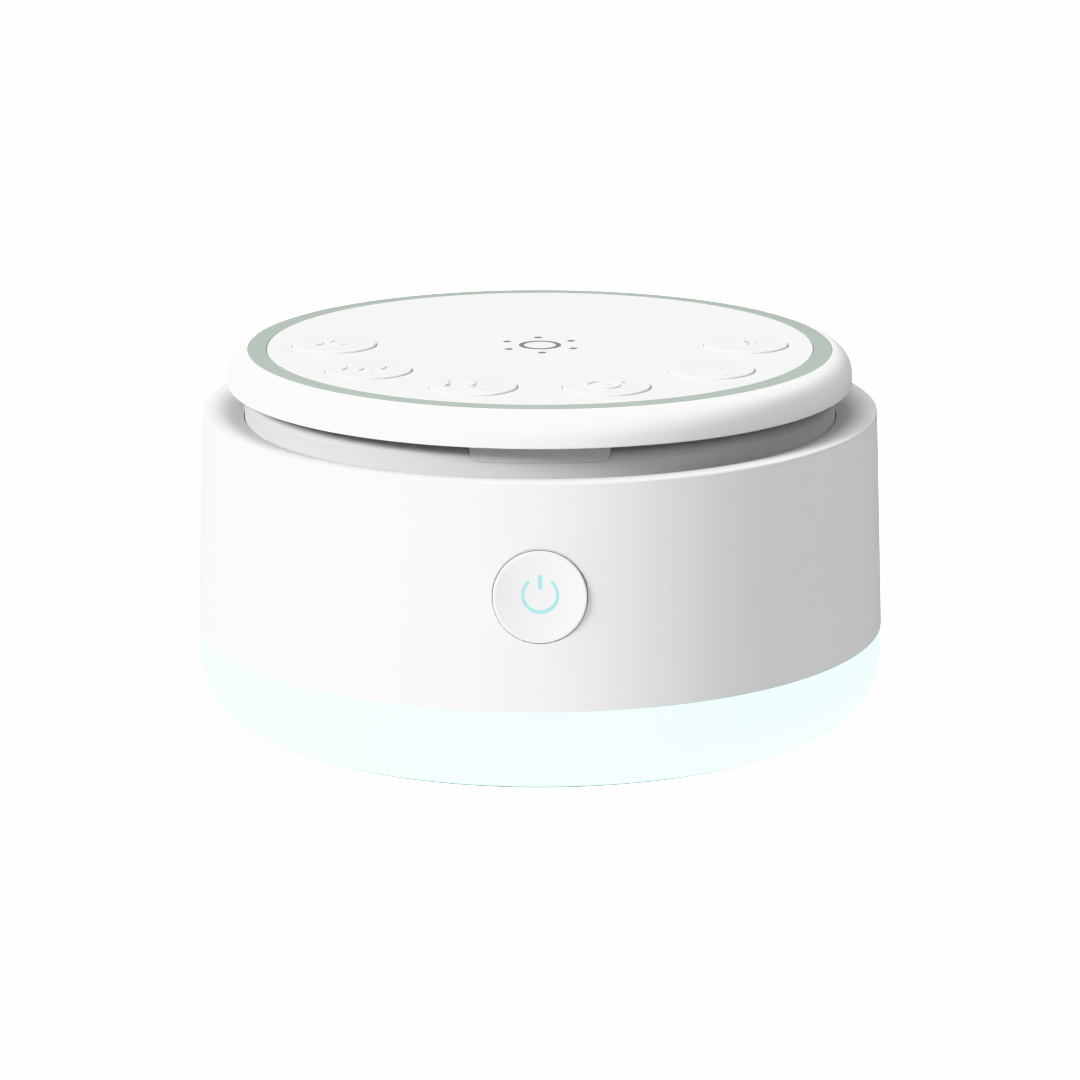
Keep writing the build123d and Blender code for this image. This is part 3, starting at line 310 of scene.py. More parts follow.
class Finish(Wiring):
    """One material: a Principled surface and the nodes that feed it."""

    def __init__(self, name, colour, roughness):
        material = bpy.data.materials.new(finish_name(name))
        material.use_nodes = True
        super().__init__(material.node_tree)
        self.surface = self.tree.nodes["Principled BSDF"]
        self.roughness = roughness
        self.set("Base Color", (*colour, 1.0))
        self.set("Roughness", roughness)

    def set(self, socket, value):
        """Sets a socket of the surface, or links a signal to it."""
        self.feed(self.surface.inputs[socket], value)

    def place(self):
        """The place on the machine, in metres."""
        return self.node("ShaderNodeTexCoord", output="Object")

    def height(self):
        """Height above the floor, in millimetres."""
        inputs = {"Vector": self.place()}
        return self.node("ShaderNodeSeparateXYZ", None, inputs, "Z") / MM

    def radius(self):
        """Distance from the upright axis, in millimetres."""
        inputs = {0: self.place(), 1: (1.0, 1.0, 0.0)}
        across = self.node("ShaderNodeVectorMath", {"operation": "MULTIPLY"}, inputs)
        return self.node("ShaderNodeVectorMath", {"operation": "LENGTH"}, {0: across}, "Value") / MM

    def noise(self, size, detail=2.0):
        """Even noise whose grains are about size metres across."""
        inputs = {"Vector": self.place(), "Scale": 1.0 / size, "Detail": detail}
        return self.node("ShaderNodeTexNoise", None, inputs, "Fac")

    def between(self, factor, low, high):
        """Blends two colours, either of which may be a signal, by a signal."""
        low, high = (end if isinstance(end, Signal) else (*end, 1.0) for end in (low, high))
        inputs = {MIX_FACTOR: factor, MIX_LOW: low, MIX_HIGH: high}
        return self.node("ShaderNodeMix", {"data_type": "RGBA"}, inputs, MIX_RESULT)

    def varied(self, colour, pattern, dark, light=1.0):
        """A colour that a pattern runs between two shares of its brightness."""
        return self.between(pattern, shade(colour, dark), shade(colour, light))

    def vary_gloss(self, pattern, spread):
        """Lets a pattern vary the roughness, by spread from end to end."""
        self.set("Roughness", self.roughness - spread / 2 + pattern * spread)

    def bump(self, height, distance):
        """Raises the surface by a signal, over distance metres."""
        inputs = {"Height": height, "Distance": distance}
        self.set("Normal", self.node("ShaderNodeBump", None, inputs))


def shade(colour, factor):
    """A colour made darker or lighter by a factor."""
    return tuple(min(channel * factor, 1.0) for channel in colour)


PLASTIC_GRAIN = 0.00035
PLASTIC_DEPTH = 0.000004
MOTTLE_SIZE = 0.018
MOTTLE_DETAIL = 3.0
MOTTLE_TONES = (0.985, 1.01)
GLOSS_SIZE = 0.004
GLOSS_SPREAD = 0.1


def moulded_plastic(name, colour, roughness, grain=PLASTIC_GRAIN, depth=PLASTIC_DEPTH, painted_shade=None):
    """Satin moulded plastic: spark-eroded grain, faint mottling and uneven gloss.

    A painted shade is a darker colour put where shade falls, with a function of the finish that is
    0 where that colour shows.
    """
    finish = Finish(name, colour, roughness)
    tone = finish.varied(colour, finish.noise(MOTTLE_SIZE, MOTTLE_DETAIL), *MOTTLE_TONES)
    # Painted shade: a darker colour where the given function falls to 0.
    if painted_shade:
        painted_shade_colour, clear_of_painted_shade = painted_shade
        tone = finish.between(clear_of_painted_shade(finish), painted_shade_colour, tone)
    finish.set("Base Color", tone)
    finish.vary_gloss(finish.noise(GLOSS_SIZE), GLOSS_SPREAD)
    finish.bump(finish.noise(grain), depth)


def clear_of_slot_shade(finish):
    """1 on the drum's outer wall, and 0 inside it and under the cap, where a grey is painted as the
    shade in the slot.
    """
    slot_shade_top = extent("speaker_deck")[2] + SLOT_SHADE_RISE
    beyond = finish.ramp(finish.radius(), SLOT_SHADE_RADIUS, SLOT_SHADE_RADIUS + SLOT_SHADE_EDGE)
    return beyond * finish.ramp(finish.height(), slot_shade_top, slot_shade_top - SLOT_SHADE_EDGE)


def clear_of_trough_shade(finish):
    """1 on the housing's wall and rim, and 0 in the trough that runs round the drum, where a darker
    grey is painted as the shade under the cap.
    """
    return finish.ramp(finish.radius(), TROUGH_RADIUS - TROUGH_EDGE, TROUGH_RADIUS)


# Painted shade in the slot under the cap: a grey inside the drum and above its top, with a soft
# edge.
SLOT_SHADE_COLOUR = (0.5, 0.5, 0.5)
SLOT_SHADE_RADIUS = 46.1
SLOT_SHADE_RISE = 1.1
SLOT_SHADE_EDGE = 0.3
# Painted shade in the trough: it grows darker inwards over the last millimetres before the drum.
TROUGH_RADIUS = 53.4
TROUGH_EDGE = 5.4


def metal(name, colour, roughness):
    """Plated or drawn metal with fine tool marks."""
    finish = Finish(name, colour, roughness)
    finish.set("Metallic", 1.0)
    marks = finish.noise(MARK_SIZE, MARK_DETAIL)
    finish.set("Base Color", finish.varied(colour, marks, *MARK_TONES))
    finish.vary_gloss(marks, MARK_GLOSS)
    finish.bump(marks, MARK_DEPTH)


MARK_SIZE = 0.0002
MARK_DETAIL = 3.0
MARK_TONES = (0.9, 1.06)
MARK_GLOSS = 0.12
MARK_DEPTH = 0.000003


def flecked(name, colour, roughness, size, spread, depth):
    """A surface of small flecks, such as paper, cloth, foam, rubber or ferrite."""
    finish = Finish(name, colour, roughness)
    flecks = finish.noise(size, FLECK_DETAIL)
    finish.set("Base Color", finish.varied(colour, flecks, 1 - spread, 1 + spread))
    finish.vary_gloss(flecks, GLOSS_SPREAD)
    finish.bump(flecks, depth)


FLECK_DETAIL = 4.0


def circuit_board(name, colour):
    """Solder mask over copper tracks, which show as slightly raised, lighter stripes."""
    finish = Finish(name, colour, BOARD_ROUGHNESS)
    inputs = {"Vector": finish.place(), **TRACKS}
    tracks = finish.node("ShaderNodeTexWave", {"wave_profile": "TRI"}, inputs, "Fac")
    copper = finish.ramp(tracks, *TRACK_EDGE)
    finish.set("Base Color", finish.varied(colour, copper, 1.0, TRACK_BRIGHTNESS))
    finish.vary_gloss(finish.noise(BOARD_GLOSS_SIZE), BOARD_GLOSS)
    finish.bump(copper, TRACK_HEIGHT)


BOARD_ROUGHNESS = 0.36
BOARD_GLOSS_SIZE = 0.002
BOARD_GLOSS = 0.12
TRACKS = {"Scale": 180.0, "Distortion": 6.0, "Detail": 1.0}
TRACK_EDGE = (0.55, 0.62)
TRACK_BRIGHTNESS = 1.45
TRACK_HEIGHT = 0.00003


def frosted_glow(name, colour):
    """The lit diffuser: even light, dimmed to a dark line along the edge that curls under the
    machine, as painted shade where it nears the floor.
    """
    finish = Finish(name, GLOW_BODY, GLOW_ROUGHNESS)
    finish.set("Specular IOR Level", GLOW_GLOSS)
    # Painted shade: the glow darkens towards the ring's bottom edge.
    clear_of_bottom_shade = finish.ramp(finish.height(), GLOW_DARK_HEIGHT, GLOW_FULL_HEIGHT)
    bottom_shade = tuple(channel * share for channel, share in zip(colour, GLOW_BOTTOM_SHADE))
    bright = finish.varied(colour, finish.noise(GLOW_MOTTLE_SIZE), GLOW_DIMMEST)
    finish.set("Emission Color", finish.between(clear_of_bottom_shade, bottom_shade, bright))
    finish.set("Emission Strength", GLOW_STRENGTH)
    finish.bump(finish.noise(GLOW_GRAIN), PLASTIC_DEPTH)


GLOW_BODY = (0.09, 0.1, 0.1)
GLOW_ROUGHNESS = 0.6
GLOW_GLOSS = 0.02
# Painted shade: below these heights in millimetres the glow darkens to a dark line at the ring's
# bottom.
GLOW_DARK_HEIGHT = 1.4
GLOW_FULL_HEIGHT = 1.62
GLOW_BOTTOM_SHADE = (0.2, 0.07, 0.065)
GLOW_MOTTLE_SIZE = 0.02
GLOW_DIMMEST = 0.985
GLOW_STRENGTH = 2.4
GLOW_GRAIN = 0.0004


def lit_plastic(name, colour, strength):
    """Clear plastic or phosphor that is lit from behind, almost evenly."""
    finish = Finish(name, LIT_BODY, LIT_ROUGHNESS)
    lit = finish.varied(colour, finish.noise(LIT_MOTTLE_SIZE), LIT_DIMMEST)
    finish.set("Emission Color", lit)
    finish.set("Emission Strength", strength)


LIT_BODY = (0.1, 0.1, 0.1)
LIT_ROUGHNESS = 0.3
LIT_MOTTLE_SIZE = 0.003
LIT_DIMMEST = 0.97


def clothe(node, material):
    """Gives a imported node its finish."""
    mesh = frame["nodes"][node].data
    mesh.materials.clear()
    mesh.materials.append(material)


# ---------------------------------------------------------------- shapes

MERGE_DISTANCE = 1e-7
SHARP_ANGLE = math.radians(32.0)
FULL_TURN = 360.0
ROUNDING_STEPS = 5
SPOT_STEPS = 32
BAR_END_STEPS = 6
BAR_END_SHARE = 0.499
PLATE_STEPS = 48
PLATE_EDGE_STEPS = 2


def around(radius, angle):
    """The place at a radius and an angle in degrees round the upright axis."""
    return Matrix.Rotation(math.radians(angle), 3, "Z") @ Vector((radius, 0.0, 0.0))


class Outline:
    """A half section, drawn run by run as (radius, height) in millimetres, turned round +Z."""

    def __init__(self, radius, height, rounding=0.0):
        self.mesh = bmesh.new()
        self.tip = self.mesh.verts.new(Vector((radius, 0.0, height)) * MM)
        self.start = self.tip
        self.corners = []
        self.soften(rounding)

    def soften(self, rounding):
        """Rounds the corner at the tip when the outline is turned."""
        if rounding:
            self.corners.append((self.tip, rounding * MM))
        return self

    def to(self, radius, height, rounding=0.0):
        """A straight run, whose far corner may be rounded."""
        self.tip = bmesh.ops.extrude_vert_indiv(self.mesh, verts=[self.tip])["verts"][0]
        self.tip.co = Vector((radius, 0.0, height)) * MM
        return self.soften(rounding)

    def arc(self, radius, height, turn, steps, squeeze=1.0):
        """An arc about a centre, counter-clockwise for a positive turn, squeezed in radius."""
        centre = Vector((radius, 0.0, height)) * MM
        drawn = set(self.mesh.verts)
        made = bmesh.ops.spin(
            self.mesh,
            geom=[self.tip],
            cent=centre,
            axis=(0.0, -1.0, 0.0),
            angle=math.radians(turn),
            steps=steps,
            use_duplicate=False,
        )
        self.tip = made["geom_last"][0]
        bmesh.ops.scale(
            self.mesh,
            vec=(squeeze, 1.0, 1.0),
            space=Matrix.Translation(-centre),
            verts=[vert for vert in self.mesh.verts if vert not in drawn],
        )
        return self

    def close(self):
        """Joins the tip to the start."""
        self.mesh.edges.new((self.tip, self.start))
        return self

    def turned(self, steps):
        """Rounds the softened corners, turns the section and returns the closed shape."""
        shape = self.mesh
        for corner, rounding in self.corners:
            bmesh.ops.bevel(
                shape,
                geom=[corner],
                offset=rounding,
                offset_type="OFFSET",
                affect="VERTICES",
                segments=ROUNDING_STEPS,
                profile=0.5,
                material=-1,
            )
        bmesh.ops.spin(
            shape,
            geom=shape.verts[:] + shape.edges[:],
            cent=(0.0, 0.0, 0.0),
            axis=(0.0, 0.0, 1.0),
            angle=math.tau,
            steps=steps,
            use_merge=True,
            use_duplicate=False,
        )
        bmesh.ops.remove_doubles(shape, verts=shape.verts[:], dist=MERGE_DISTANCE)
        bmesh.ops.recalc_face_normals(shape, faces=shape.faces[:])
        return shape


class Relief:
    """Flat strokes and spots, drawn in millimetres on z = 0 and then raised into a thin relief."""

    def __init__(self):
        self.mesh = bmesh.new()

    def ring(self, x, y, radius, width, start=0.0, sweep=FULL_TURN, steps=48):
        """A ring of a stroke's width, or a part of one, from an angle through a sweep."""
        inner = self.mesh.verts.new(((radius - width / 2) * MM, 0.0, 0.0))
        outer = self.mesh.verts.new(((radius + width / 2) * MM, 0.0, 0.0))
        stroke = [inner, outer, self.mesh.edges.new((inner, outer))]
        drawn = set(self.mesh.verts)
        bmesh.ops.spin(
            self.mesh,
            geom=stroke,
            cent=(0.0, 0.0, 0.0),
            axis=(0.0, 0.0, 1.0),
            angle=math.radians(sweep),
            steps=steps,
            use_merge=sweep == FULL_TURN,
            use_duplicate=False,
        )
        made = [inner, outer] + [vert for vert in self.mesh.verts if vert not in drawn]
        return self.put(made, x, y, start)

    def spot(self, x, y, radius, squeeze=1.0, angle=0.0):
        """A round spot, or an oval one with squeeze as its width over its length."""
        made = bmesh.ops.create_circle(
            self.mesh, cap_ends=True, segments=SPOT_STEPS, radius=radius * MM
        )["verts"]
        bmesh.ops.scale(self.mesh, vec=(1.0, squeeze, 1.0), verts=made)
        return self.put(made, x, y, angle)

    def bar(self, x, y, length, width, angle=0.0):
        """A straight stroke with round ends."""
        made = bmesh.ops.create_grid(self.mesh, x_segments=1, y_segments=1, size=MM / 2)["verts"]
        bmesh.ops.scale(self.mesh, vec=(length, width, 1.0), verts=made)
        drawn = set(self.mesh.verts) - set(made)
        bmesh.ops.bevel(
            self.mesh,
            geom=made,
            offset=width * MM * BAR_END_SHARE,
            offset_type="OFFSET",
            affect="VERTICES",
            segments=BAR_END_STEPS,
            profile=0.5,
            material=-1,
        )
        made = [vert for vert in self.mesh.verts if vert not in drawn]
        return self.put(made, x, y, angle)

    def put(self, verts, x, y, angle):
        """Turns a stroke that is drawn round the origin, and moves it to its place."""
        turn = Matrix.Rotation(math.radians(angle), 3, "Z")
        bmesh.ops.rotate(self.mesh, verts=verts, matrix=turn)
        bmesh.ops.translate(self.mesh, verts=verts, vec=Vector((x, y, 0.0)) * MM)
        return self

    def raised(self, thickness):
        """Gives the strokes a thickness in metres, from z = 0 upwards."""
        shape = self.mesh
        bmesh.ops.remove_doubles(shape, verts=shape.verts[:], dist=MERGE_DISTANCE)
        bmesh.ops.recalc_face_normals(shape, faces=shape.faces[:])
        made = bmesh.ops.extrude_face_region(
            shape, geom=shape.faces[:], use_keep_orig=True
        )["geom"]
        tops = [item for item in made if isinstance(item, bmesh.types.BMVert)]
        bmesh.ops.translate(shape, verts=tops, vec=(0.0, 0.0, thickness))
        bmesh.ops.recalc_face_normals(shape, faces=shape.faces[:])
        return shape


def piece(name, shape, finish, nodes=(), body="housing"):
    """Makes an object of a finished shape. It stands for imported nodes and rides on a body."""
    mesh = bpy.data.meshes.new(name)
    shape.to_mesh(mesh)
    shape.free()
    mesh.shade_smooth()
    mesh.set_sharp_from_angle(angle=SHARP_ANGLE)
    mesh.materials.append(bpy.data.materials[finish_name(finish)])
    made = bpy.data.objects.new(name, mesh)
    bpy.context.scene.collection.objects.link(made)
    shading = made.modifiers.new("even_shading", "WEIGHTED_NORMAL")
    shading.keep_sharp = True
    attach(made, body)
    if nodes:
        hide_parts(*nodes)
    return made


def flat_plate(name, outer, holes, low, high, edge, finish, nodes):
    """A round plate with round holes, whose edges are all rounded, from a flat curve."""
    curve = bpy.data.curves.new(name, "CURVE")
    curve.dimensions = "2D"
    curve.fill_mode = "BOTH"
    curve.resolution_u = PLATE_STEPS
    curve.extrude = (high - low) * MM / 2 - edge
    curve.bevel_depth = edge
    curve.bevel_resolution = PLATE_EDGE_STEPS
    curve.offset = -edge
    for x, y, radius in ((0.0, 0.0, outer), *holes):
        add_circle(curve, x * MM, y * MM, radius * MM)
    drawn = bpy.data.objects.new(name, curve)
    bpy.context.scene.collection.objects.link(drawn)
    graph = bpy.context.evaluated_depsgraph_get()
    mesh = bpy.data.meshes.new_from_object(drawn.evaluated_get(graph))
    bpy.data.objects.remove(drawn)
    shape = bmesh.new()
    shape.from_mesh(mesh)
    bpy.data.meshes.remove(mesh)
    bmesh.ops.remove_doubles(shape, verts=shape.verts[:], dist=MERGE_DISTANCE)
    bmesh.ops.recalc_face_normals(shape, faces=shape.faces[:])
    bmesh.ops.translate(shape, verts=shape.verts[:], vec=(0.0, 0.0, (low + high) / 2 * MM))
    return piece(name, shape, finish, nodes)


CIRCLE_POINTS = 4
CIRCLE_HANDLE = 0.5522847


def add_circle(curve, x, y, radius):
    """Adds a circle of four Bezier points to a flat curve."""
    spline = curve.splines.new("BEZIER")
    spline.bezier_points.add(CIRCLE_POINTS - 1)
    spline.use_cyclic_u = True
    centre = Vector((x, y, 0.0))
    quarter = Matrix.Rotation(math.tau / CIRCLE_POINTS, 3, "Z")
    for count, point in enumerate(spline.bezier_points):
        out = around(radius, FULL_TURN * count / CIRCLE_POINTS)
        along = quarter @ out * CIRCLE_HANDLE
        point.handle_left_type = "FREE"
        point.handle_right_type = "FREE"
        point.co = centre + out
        point.handle_left = centre + out - along
        point.handle_right = centre + out + along


# ---------------------------------------------------------------- operators


class MACHINE_OT_finishes(bpy.types.Operator):
    """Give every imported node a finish"""

    bl_idname = "machine.finishes"
    bl_label = "Finishes"

    def execute(self, context):
        colours = context.scene.machine_finish
        bases = {m["slot"]: m["base_color"][:3] for m in frame["record"]["materials"]}
        # Painted shade on the housing: darker towards the drum, in the trough under the cap.
        trough = (colours.trough_shade_colour, clear_of_trough_shade)
        # Painted shade in the slot under the cap.
        slot_shade = (SLOT_SHADE_COLOUR, clear_of_slot_shade)
        moulded_plastic("shell_white", colours.shell_colour, roughness=0.45, painted_shade=trough)
        # The drum's darker colour is painted shade, and its slot gets more painted shade.
        moulded_plastic("deck_white", colours.drum_shade_colour, roughness=0.5, painted_shade=slot_shade)
        moulded_plastic("cap_white", colours.cap_colour, roughness=0.45)
        moulded_plastic("panel_white", colours.panel_colour, roughness=0.5)
        moulded_plastic("key_white", colours.panel_colour, roughness=0.45)
        moulded_plastic("button_white", colours.button_colour, roughness=0.35)
        moulded_plastic("sage_ring", colours.sage_colour, roughness=0.42)
        moulded_plastic("sun_print", colours.print_colour, roughness=0.6, depth=PRINT_DEPTH)
        moulded_plastic("base_white", bases["base_white"], 0.5, BASE_GRAIN, BASE_DEPTH)
        moulded_plastic("reflector_white", bases["reflector_white"], roughness=0.18)
        for slot in PLAIN_PLASTICS:
            moulded_plastic(slot, bases[slot], roughness=0.5)
        for slot, roughness in METALS.items():
            metal(slot, bases[slot], roughness)
        for slot, roughness, size, spread, depth in FLECKED:
            flecked(slot, bases[slot], roughness, size, spread, depth)
        circuit_board("board_green", bases["board_green"])
        frosted_glow("diffuser", colours.glow_colour)
        lit_plastic("light_pipe", colours.sign_colour, strength=1.0)
        lit_plastic("led_phosphor", bases["led_phosphor"], strength=0.6)
        for part in frame["record"]["subparts"]:
            clothe(part["node"], bpy.data.materials[finish_name(part["material_slot"])])
        return {"FINISHED"}


PRINT_DEPTH = 0.000001
BASE_GRAIN = 0.0006
BASE_DEPTH = 0.00001
PLAIN_PLASTICS = (
    "chassis_grey",
    "chip_black",
    "switch_black",
    "plunger_grey",
    "connector_cream",
    "ribbon_grey",
    "battery_wrap",
    "frame_black",
)
METALS = {"screw_steel": 0.32, "socket_steel": 0.32, "pole_steel": 0.32, "coil_copper": 0.3}
FLECKED = (  # Slot, roughness, size of the flecks in metres, spread of their tone, depth in metres
    ("foot_rubber", 0.75, 0.0008, 0.06, 0.00001),
    ("foam_black", 0.95, 0.0005, 0.4, 0.00006),
    ("surround_rubber", 0.6, 0.001, 0.15, 0.000005),
    ("cone_paper", 0.9, 0.0006, 0.3, 0.00002),
    ("spider_cloth", 0.85, 0.0004, 0.2, 0.00003),
    ("magnet_ferrite", 0.55, 0.0007, 0.15, 0.000005),
)


class MACHINE_OT_cap(bpy.types.Operator):
    """Turn the cap's shell and its trim ring"""

    bl_idname = "machine.cap"
    bl_label = "Cap"

    def execute(self, context):
        steps = context.scene.machine_moulding.turning_steps
        radius, edge, _ = extent("cap_shell")
        ring_radius, groove, top = extent("accent_ring")
        panel_radius, panel_low, _ = extent("top_panel")
        wall = radius - CAP_WALL
        shoulder_radius = radius - CAP_SHOULDER
        shoulder_height = top - CAP_SHOULDER
        lip = math.degrees(math.acos((ring_radius + GAP - shoulder_radius) / CAP_SHOULDER))
        ledge = panel_low - CAP_LEDGE
        seat = extent("cap_base")[2]
        shell = Outline(radius, shoulder_height)
        shell.arc(shoulder_radius, shoulder_height, lip, CAP_ARC_STEPS).soften(CAP_LIP_ROUNDING)
        shell.to(ring_radius + GAP, groove).to(panel_radius + GAP, groove)
        shell.to(panel_radius + GAP, panel_low).to(PANEL_SEAT, panel_low)
        shell.to(PANEL_SEAT, ledge).to(shoulder_radius, ledge)
        shell.to(wall - CAP_WALL / 2, ledge - GAP).to(wall - CAP_WALL / 2, seat)
        shell.to(wall, seat).to(wall, edge, CAP_INNER_ROUNDING)
        shell.to(radius, edge, CAP_OUTER_ROUNDING).close()
        piece("cap_shell_skin", shell.turned(steps), "cap_white", ["cap_shell"])
        ring = Outline(ring_radius - TRIM_WIDTH, groove).to(ring_radius, groove)
        ring.to(ring_radius, top - TRIM_SLOPE, TRIM_OUTER_ROUNDING)
        ring.to(ring_radius - TRIM_WIDTH, top, TRIM_INNER_ROUNDING).close()
        piece("trim_ring_skin", ring.turned(steps), "sage_ring", ["accent_ring"])
        return {"FINISHED"}


CAP_WALL = 2.0
CAP_SHOULDER = 3.9
CAP_ARC_STEPS = 24
CAP_LIP_ROUNDING = 0.06
CAP_INNER_ROUNDING = 0.1
CAP_OUTER_ROUNDING = 0.16
CAP_LEDGE = 1.2
PANEL_SEAT = 41.2
GAP = 0.05
TRIM_WIDTH = 2.95
TRIM_SLOPE = 0.08
TRIM_OUTER_ROUNDING = 0.12
TRIM_INNER_ROUNDING = 0.08


class MACHINE_OT_top_panel(bpy.types.Operator):
    """Make the top panel with its key holes and the printed sun"""

    bl_idname = "machine.top_panel"
    bl_label = "Top panel"

    def execute(self, context):
        edge = context.scene.machine_moulding.panel_edge
        radius, low, high = extent("top_panel")
        holes = []
        for name in KEY_NAMES:
            centre = middle(f"{name}_key") / MM
            holes.append((centre.x, centre.y, KEY_RADIUS + KEY_GAP))
        flat_plate("top_panel_skin", radius, holes, low, high, edge, "panel_white", ["top_panel"])
        sun = Relief().ring(0.0, 0.0, SUN_RADIUS, SUN_LINE, steps=SUN_STEPS)
        for count in range(SUN_DOTS):
            place = around(SUN_DOT_CIRCLE, SUN_FIRST_DOT + count * FULL_TURN / SUN_DOTS)
            sun.spot(place.x, place.y, SUN_DOT_RADIUS)
        shape = sun.raised(PRINT_THICKNESS)
        bmesh.ops.translate(shape, verts=shape.verts[:], vec=(0.0, 0.0, high * MM))
        piece("sun_print", shape, "sun_print")
        return {"FINISHED"}


KEY_RADIUS = 6.68
KEY_GAP = 0.12
SUN_RADIUS = 2.96
SUN_LINE = 0.84
SUN_STEPS = 96
SUN_DOTS = 6
SUN_FIRST_DOT = 33.0
SUN_DOT_CIRCLE = 5.9
SUN_DOT_RADIUS = 0.66
PRINT_THICKNESS = 0.00002


class MACHINE_OT_keys(bpy.types.Operator):
    """Turn the six keys and raise their signs"""

    bl_idname = "machine.keys"
    bl_label = "Keys"

    def execute(self, context):
        moulding = context.scene.machine_moulding
        for name in KEY_NAMES:
            node = f"{name}_key"
            flange, low, crown = extent(node)
            centre = middle(node)
            stem = extent(f"{name}_plunger")[2]
            key = Outline(0.0, crown).to(KEY_RADIUS, crown, moulding.key_edge / MM)
            key.to(KEY_RADIUS, low + KEY_FLANGE).to(flange, low + KEY_FLANGE)
            key.to(flange, low).to(KEY_RADIUS - KEY_WALL, low)
            key.to(KEY_RADIUS - KEY_WALL, crown - KEY_WALL).to(KEY_STEM, crown - KEY_WALL)
            key.to(KEY_STEM, stem).to(0.0, stem)
            shape = key.turned(KEY_STEPS)
            place = Vector((centre.x, centre.y, 0.0))
            bmesh.ops.translate(shape, verts=shape.verts[:], vec=place)
            piece(f"{name}_key_skin", shape, "key_white", [node], f"{name}_key_body")
            sign = KEY_SIGNS[name]().raised(moulding.sign_height)
            place.z = crown * MM
            bmesh.ops.translate(sign, verts=sign.verts[:], vec=place)
            piece(f"{name}_sign", sign, "key_white", (), f"{name}_key_body")
        return {"FINISHED"}


KEY_FLANGE = 0.9
KEY_WALL = 1.2
KEY_STEM = 1.6
KEY_STEPS = 128


FAN_X = -0.9
FAN_REACH = 1.9
FAN_LEAN = 25.0


def fan_sign():
    """Three blades round a hub."""
    sign = Relief().spot(FAN_X, 0.0, radius=0.55)
    for angle in (90.0, 210.0, 330.0):
        blade = around(FAN_REACH, angle)
        sign.spot(FAN_X + blade.x, blade.y, radius=1.15, squeeze=0.55, angle=angle + FAN_LEAN)
    return sign


def rain_sign():
    """Three falling drops."""
    sign = Relief()
    for x, y in ((-4.0, 0.0), (-1.4, -0.6), (2.0, 0.3)):
        sign.spot(x, y, radius=1.35, squeeze=0.38, angle=80.0)
    return sign


def lullaby_sign():
    """Two joined notes on a line."""
    sign = Relief().bar(-1.2, -3.4, length=6.2, width=0.45)
    for x, y in ((-4.6, -0.9), (-0.6, -1.2)):
        sign.spot(x, y, radius=0.9, squeeze=0.75, angle=20.0)
        sign.bar(x + 0.65, y + 1.8, length=3.4, width=0.42, angle=90.0)
    return sign.bar(-1.95, 2.4, length=4.1, width=0.6, angle=-4.0)


def timer_sign():
    """A dial with two hands, a crown and a side knob."""
    sign = Relief().ring(-0.6, -0.4, radius=2.5, width=0.42)
    sign.bar(-0.6, 0.4, length=1.7, width=0.4, angle=90.0)
    sign.bar(-0.05, -0.4, length=1.2, width=0.4)
    sign.bar(-0.6, 2.75, length=1.1, width=0.5)
    return sign.bar(2.4, 1.6, length=1.0, width=0.42, angle=50.0)


def minus_sign():
    """One bar."""
    return Relief().bar(0.0, 0.0, length=3.2, width=0.55)


def plus_sign():
    """Two crossed bars."""
    return minus_sign().bar(0.0, 0.0, length=3.2, width=0.55, angle=90.0)


KEY_SIGNS = {
    "fan": fan_sign,
    "rain": rain_sign,
    "lullaby": lullaby_sign,
    "timer": timer_sign,
    "volume_down": minus_sign,
    "volume_up": plus_sign,
}


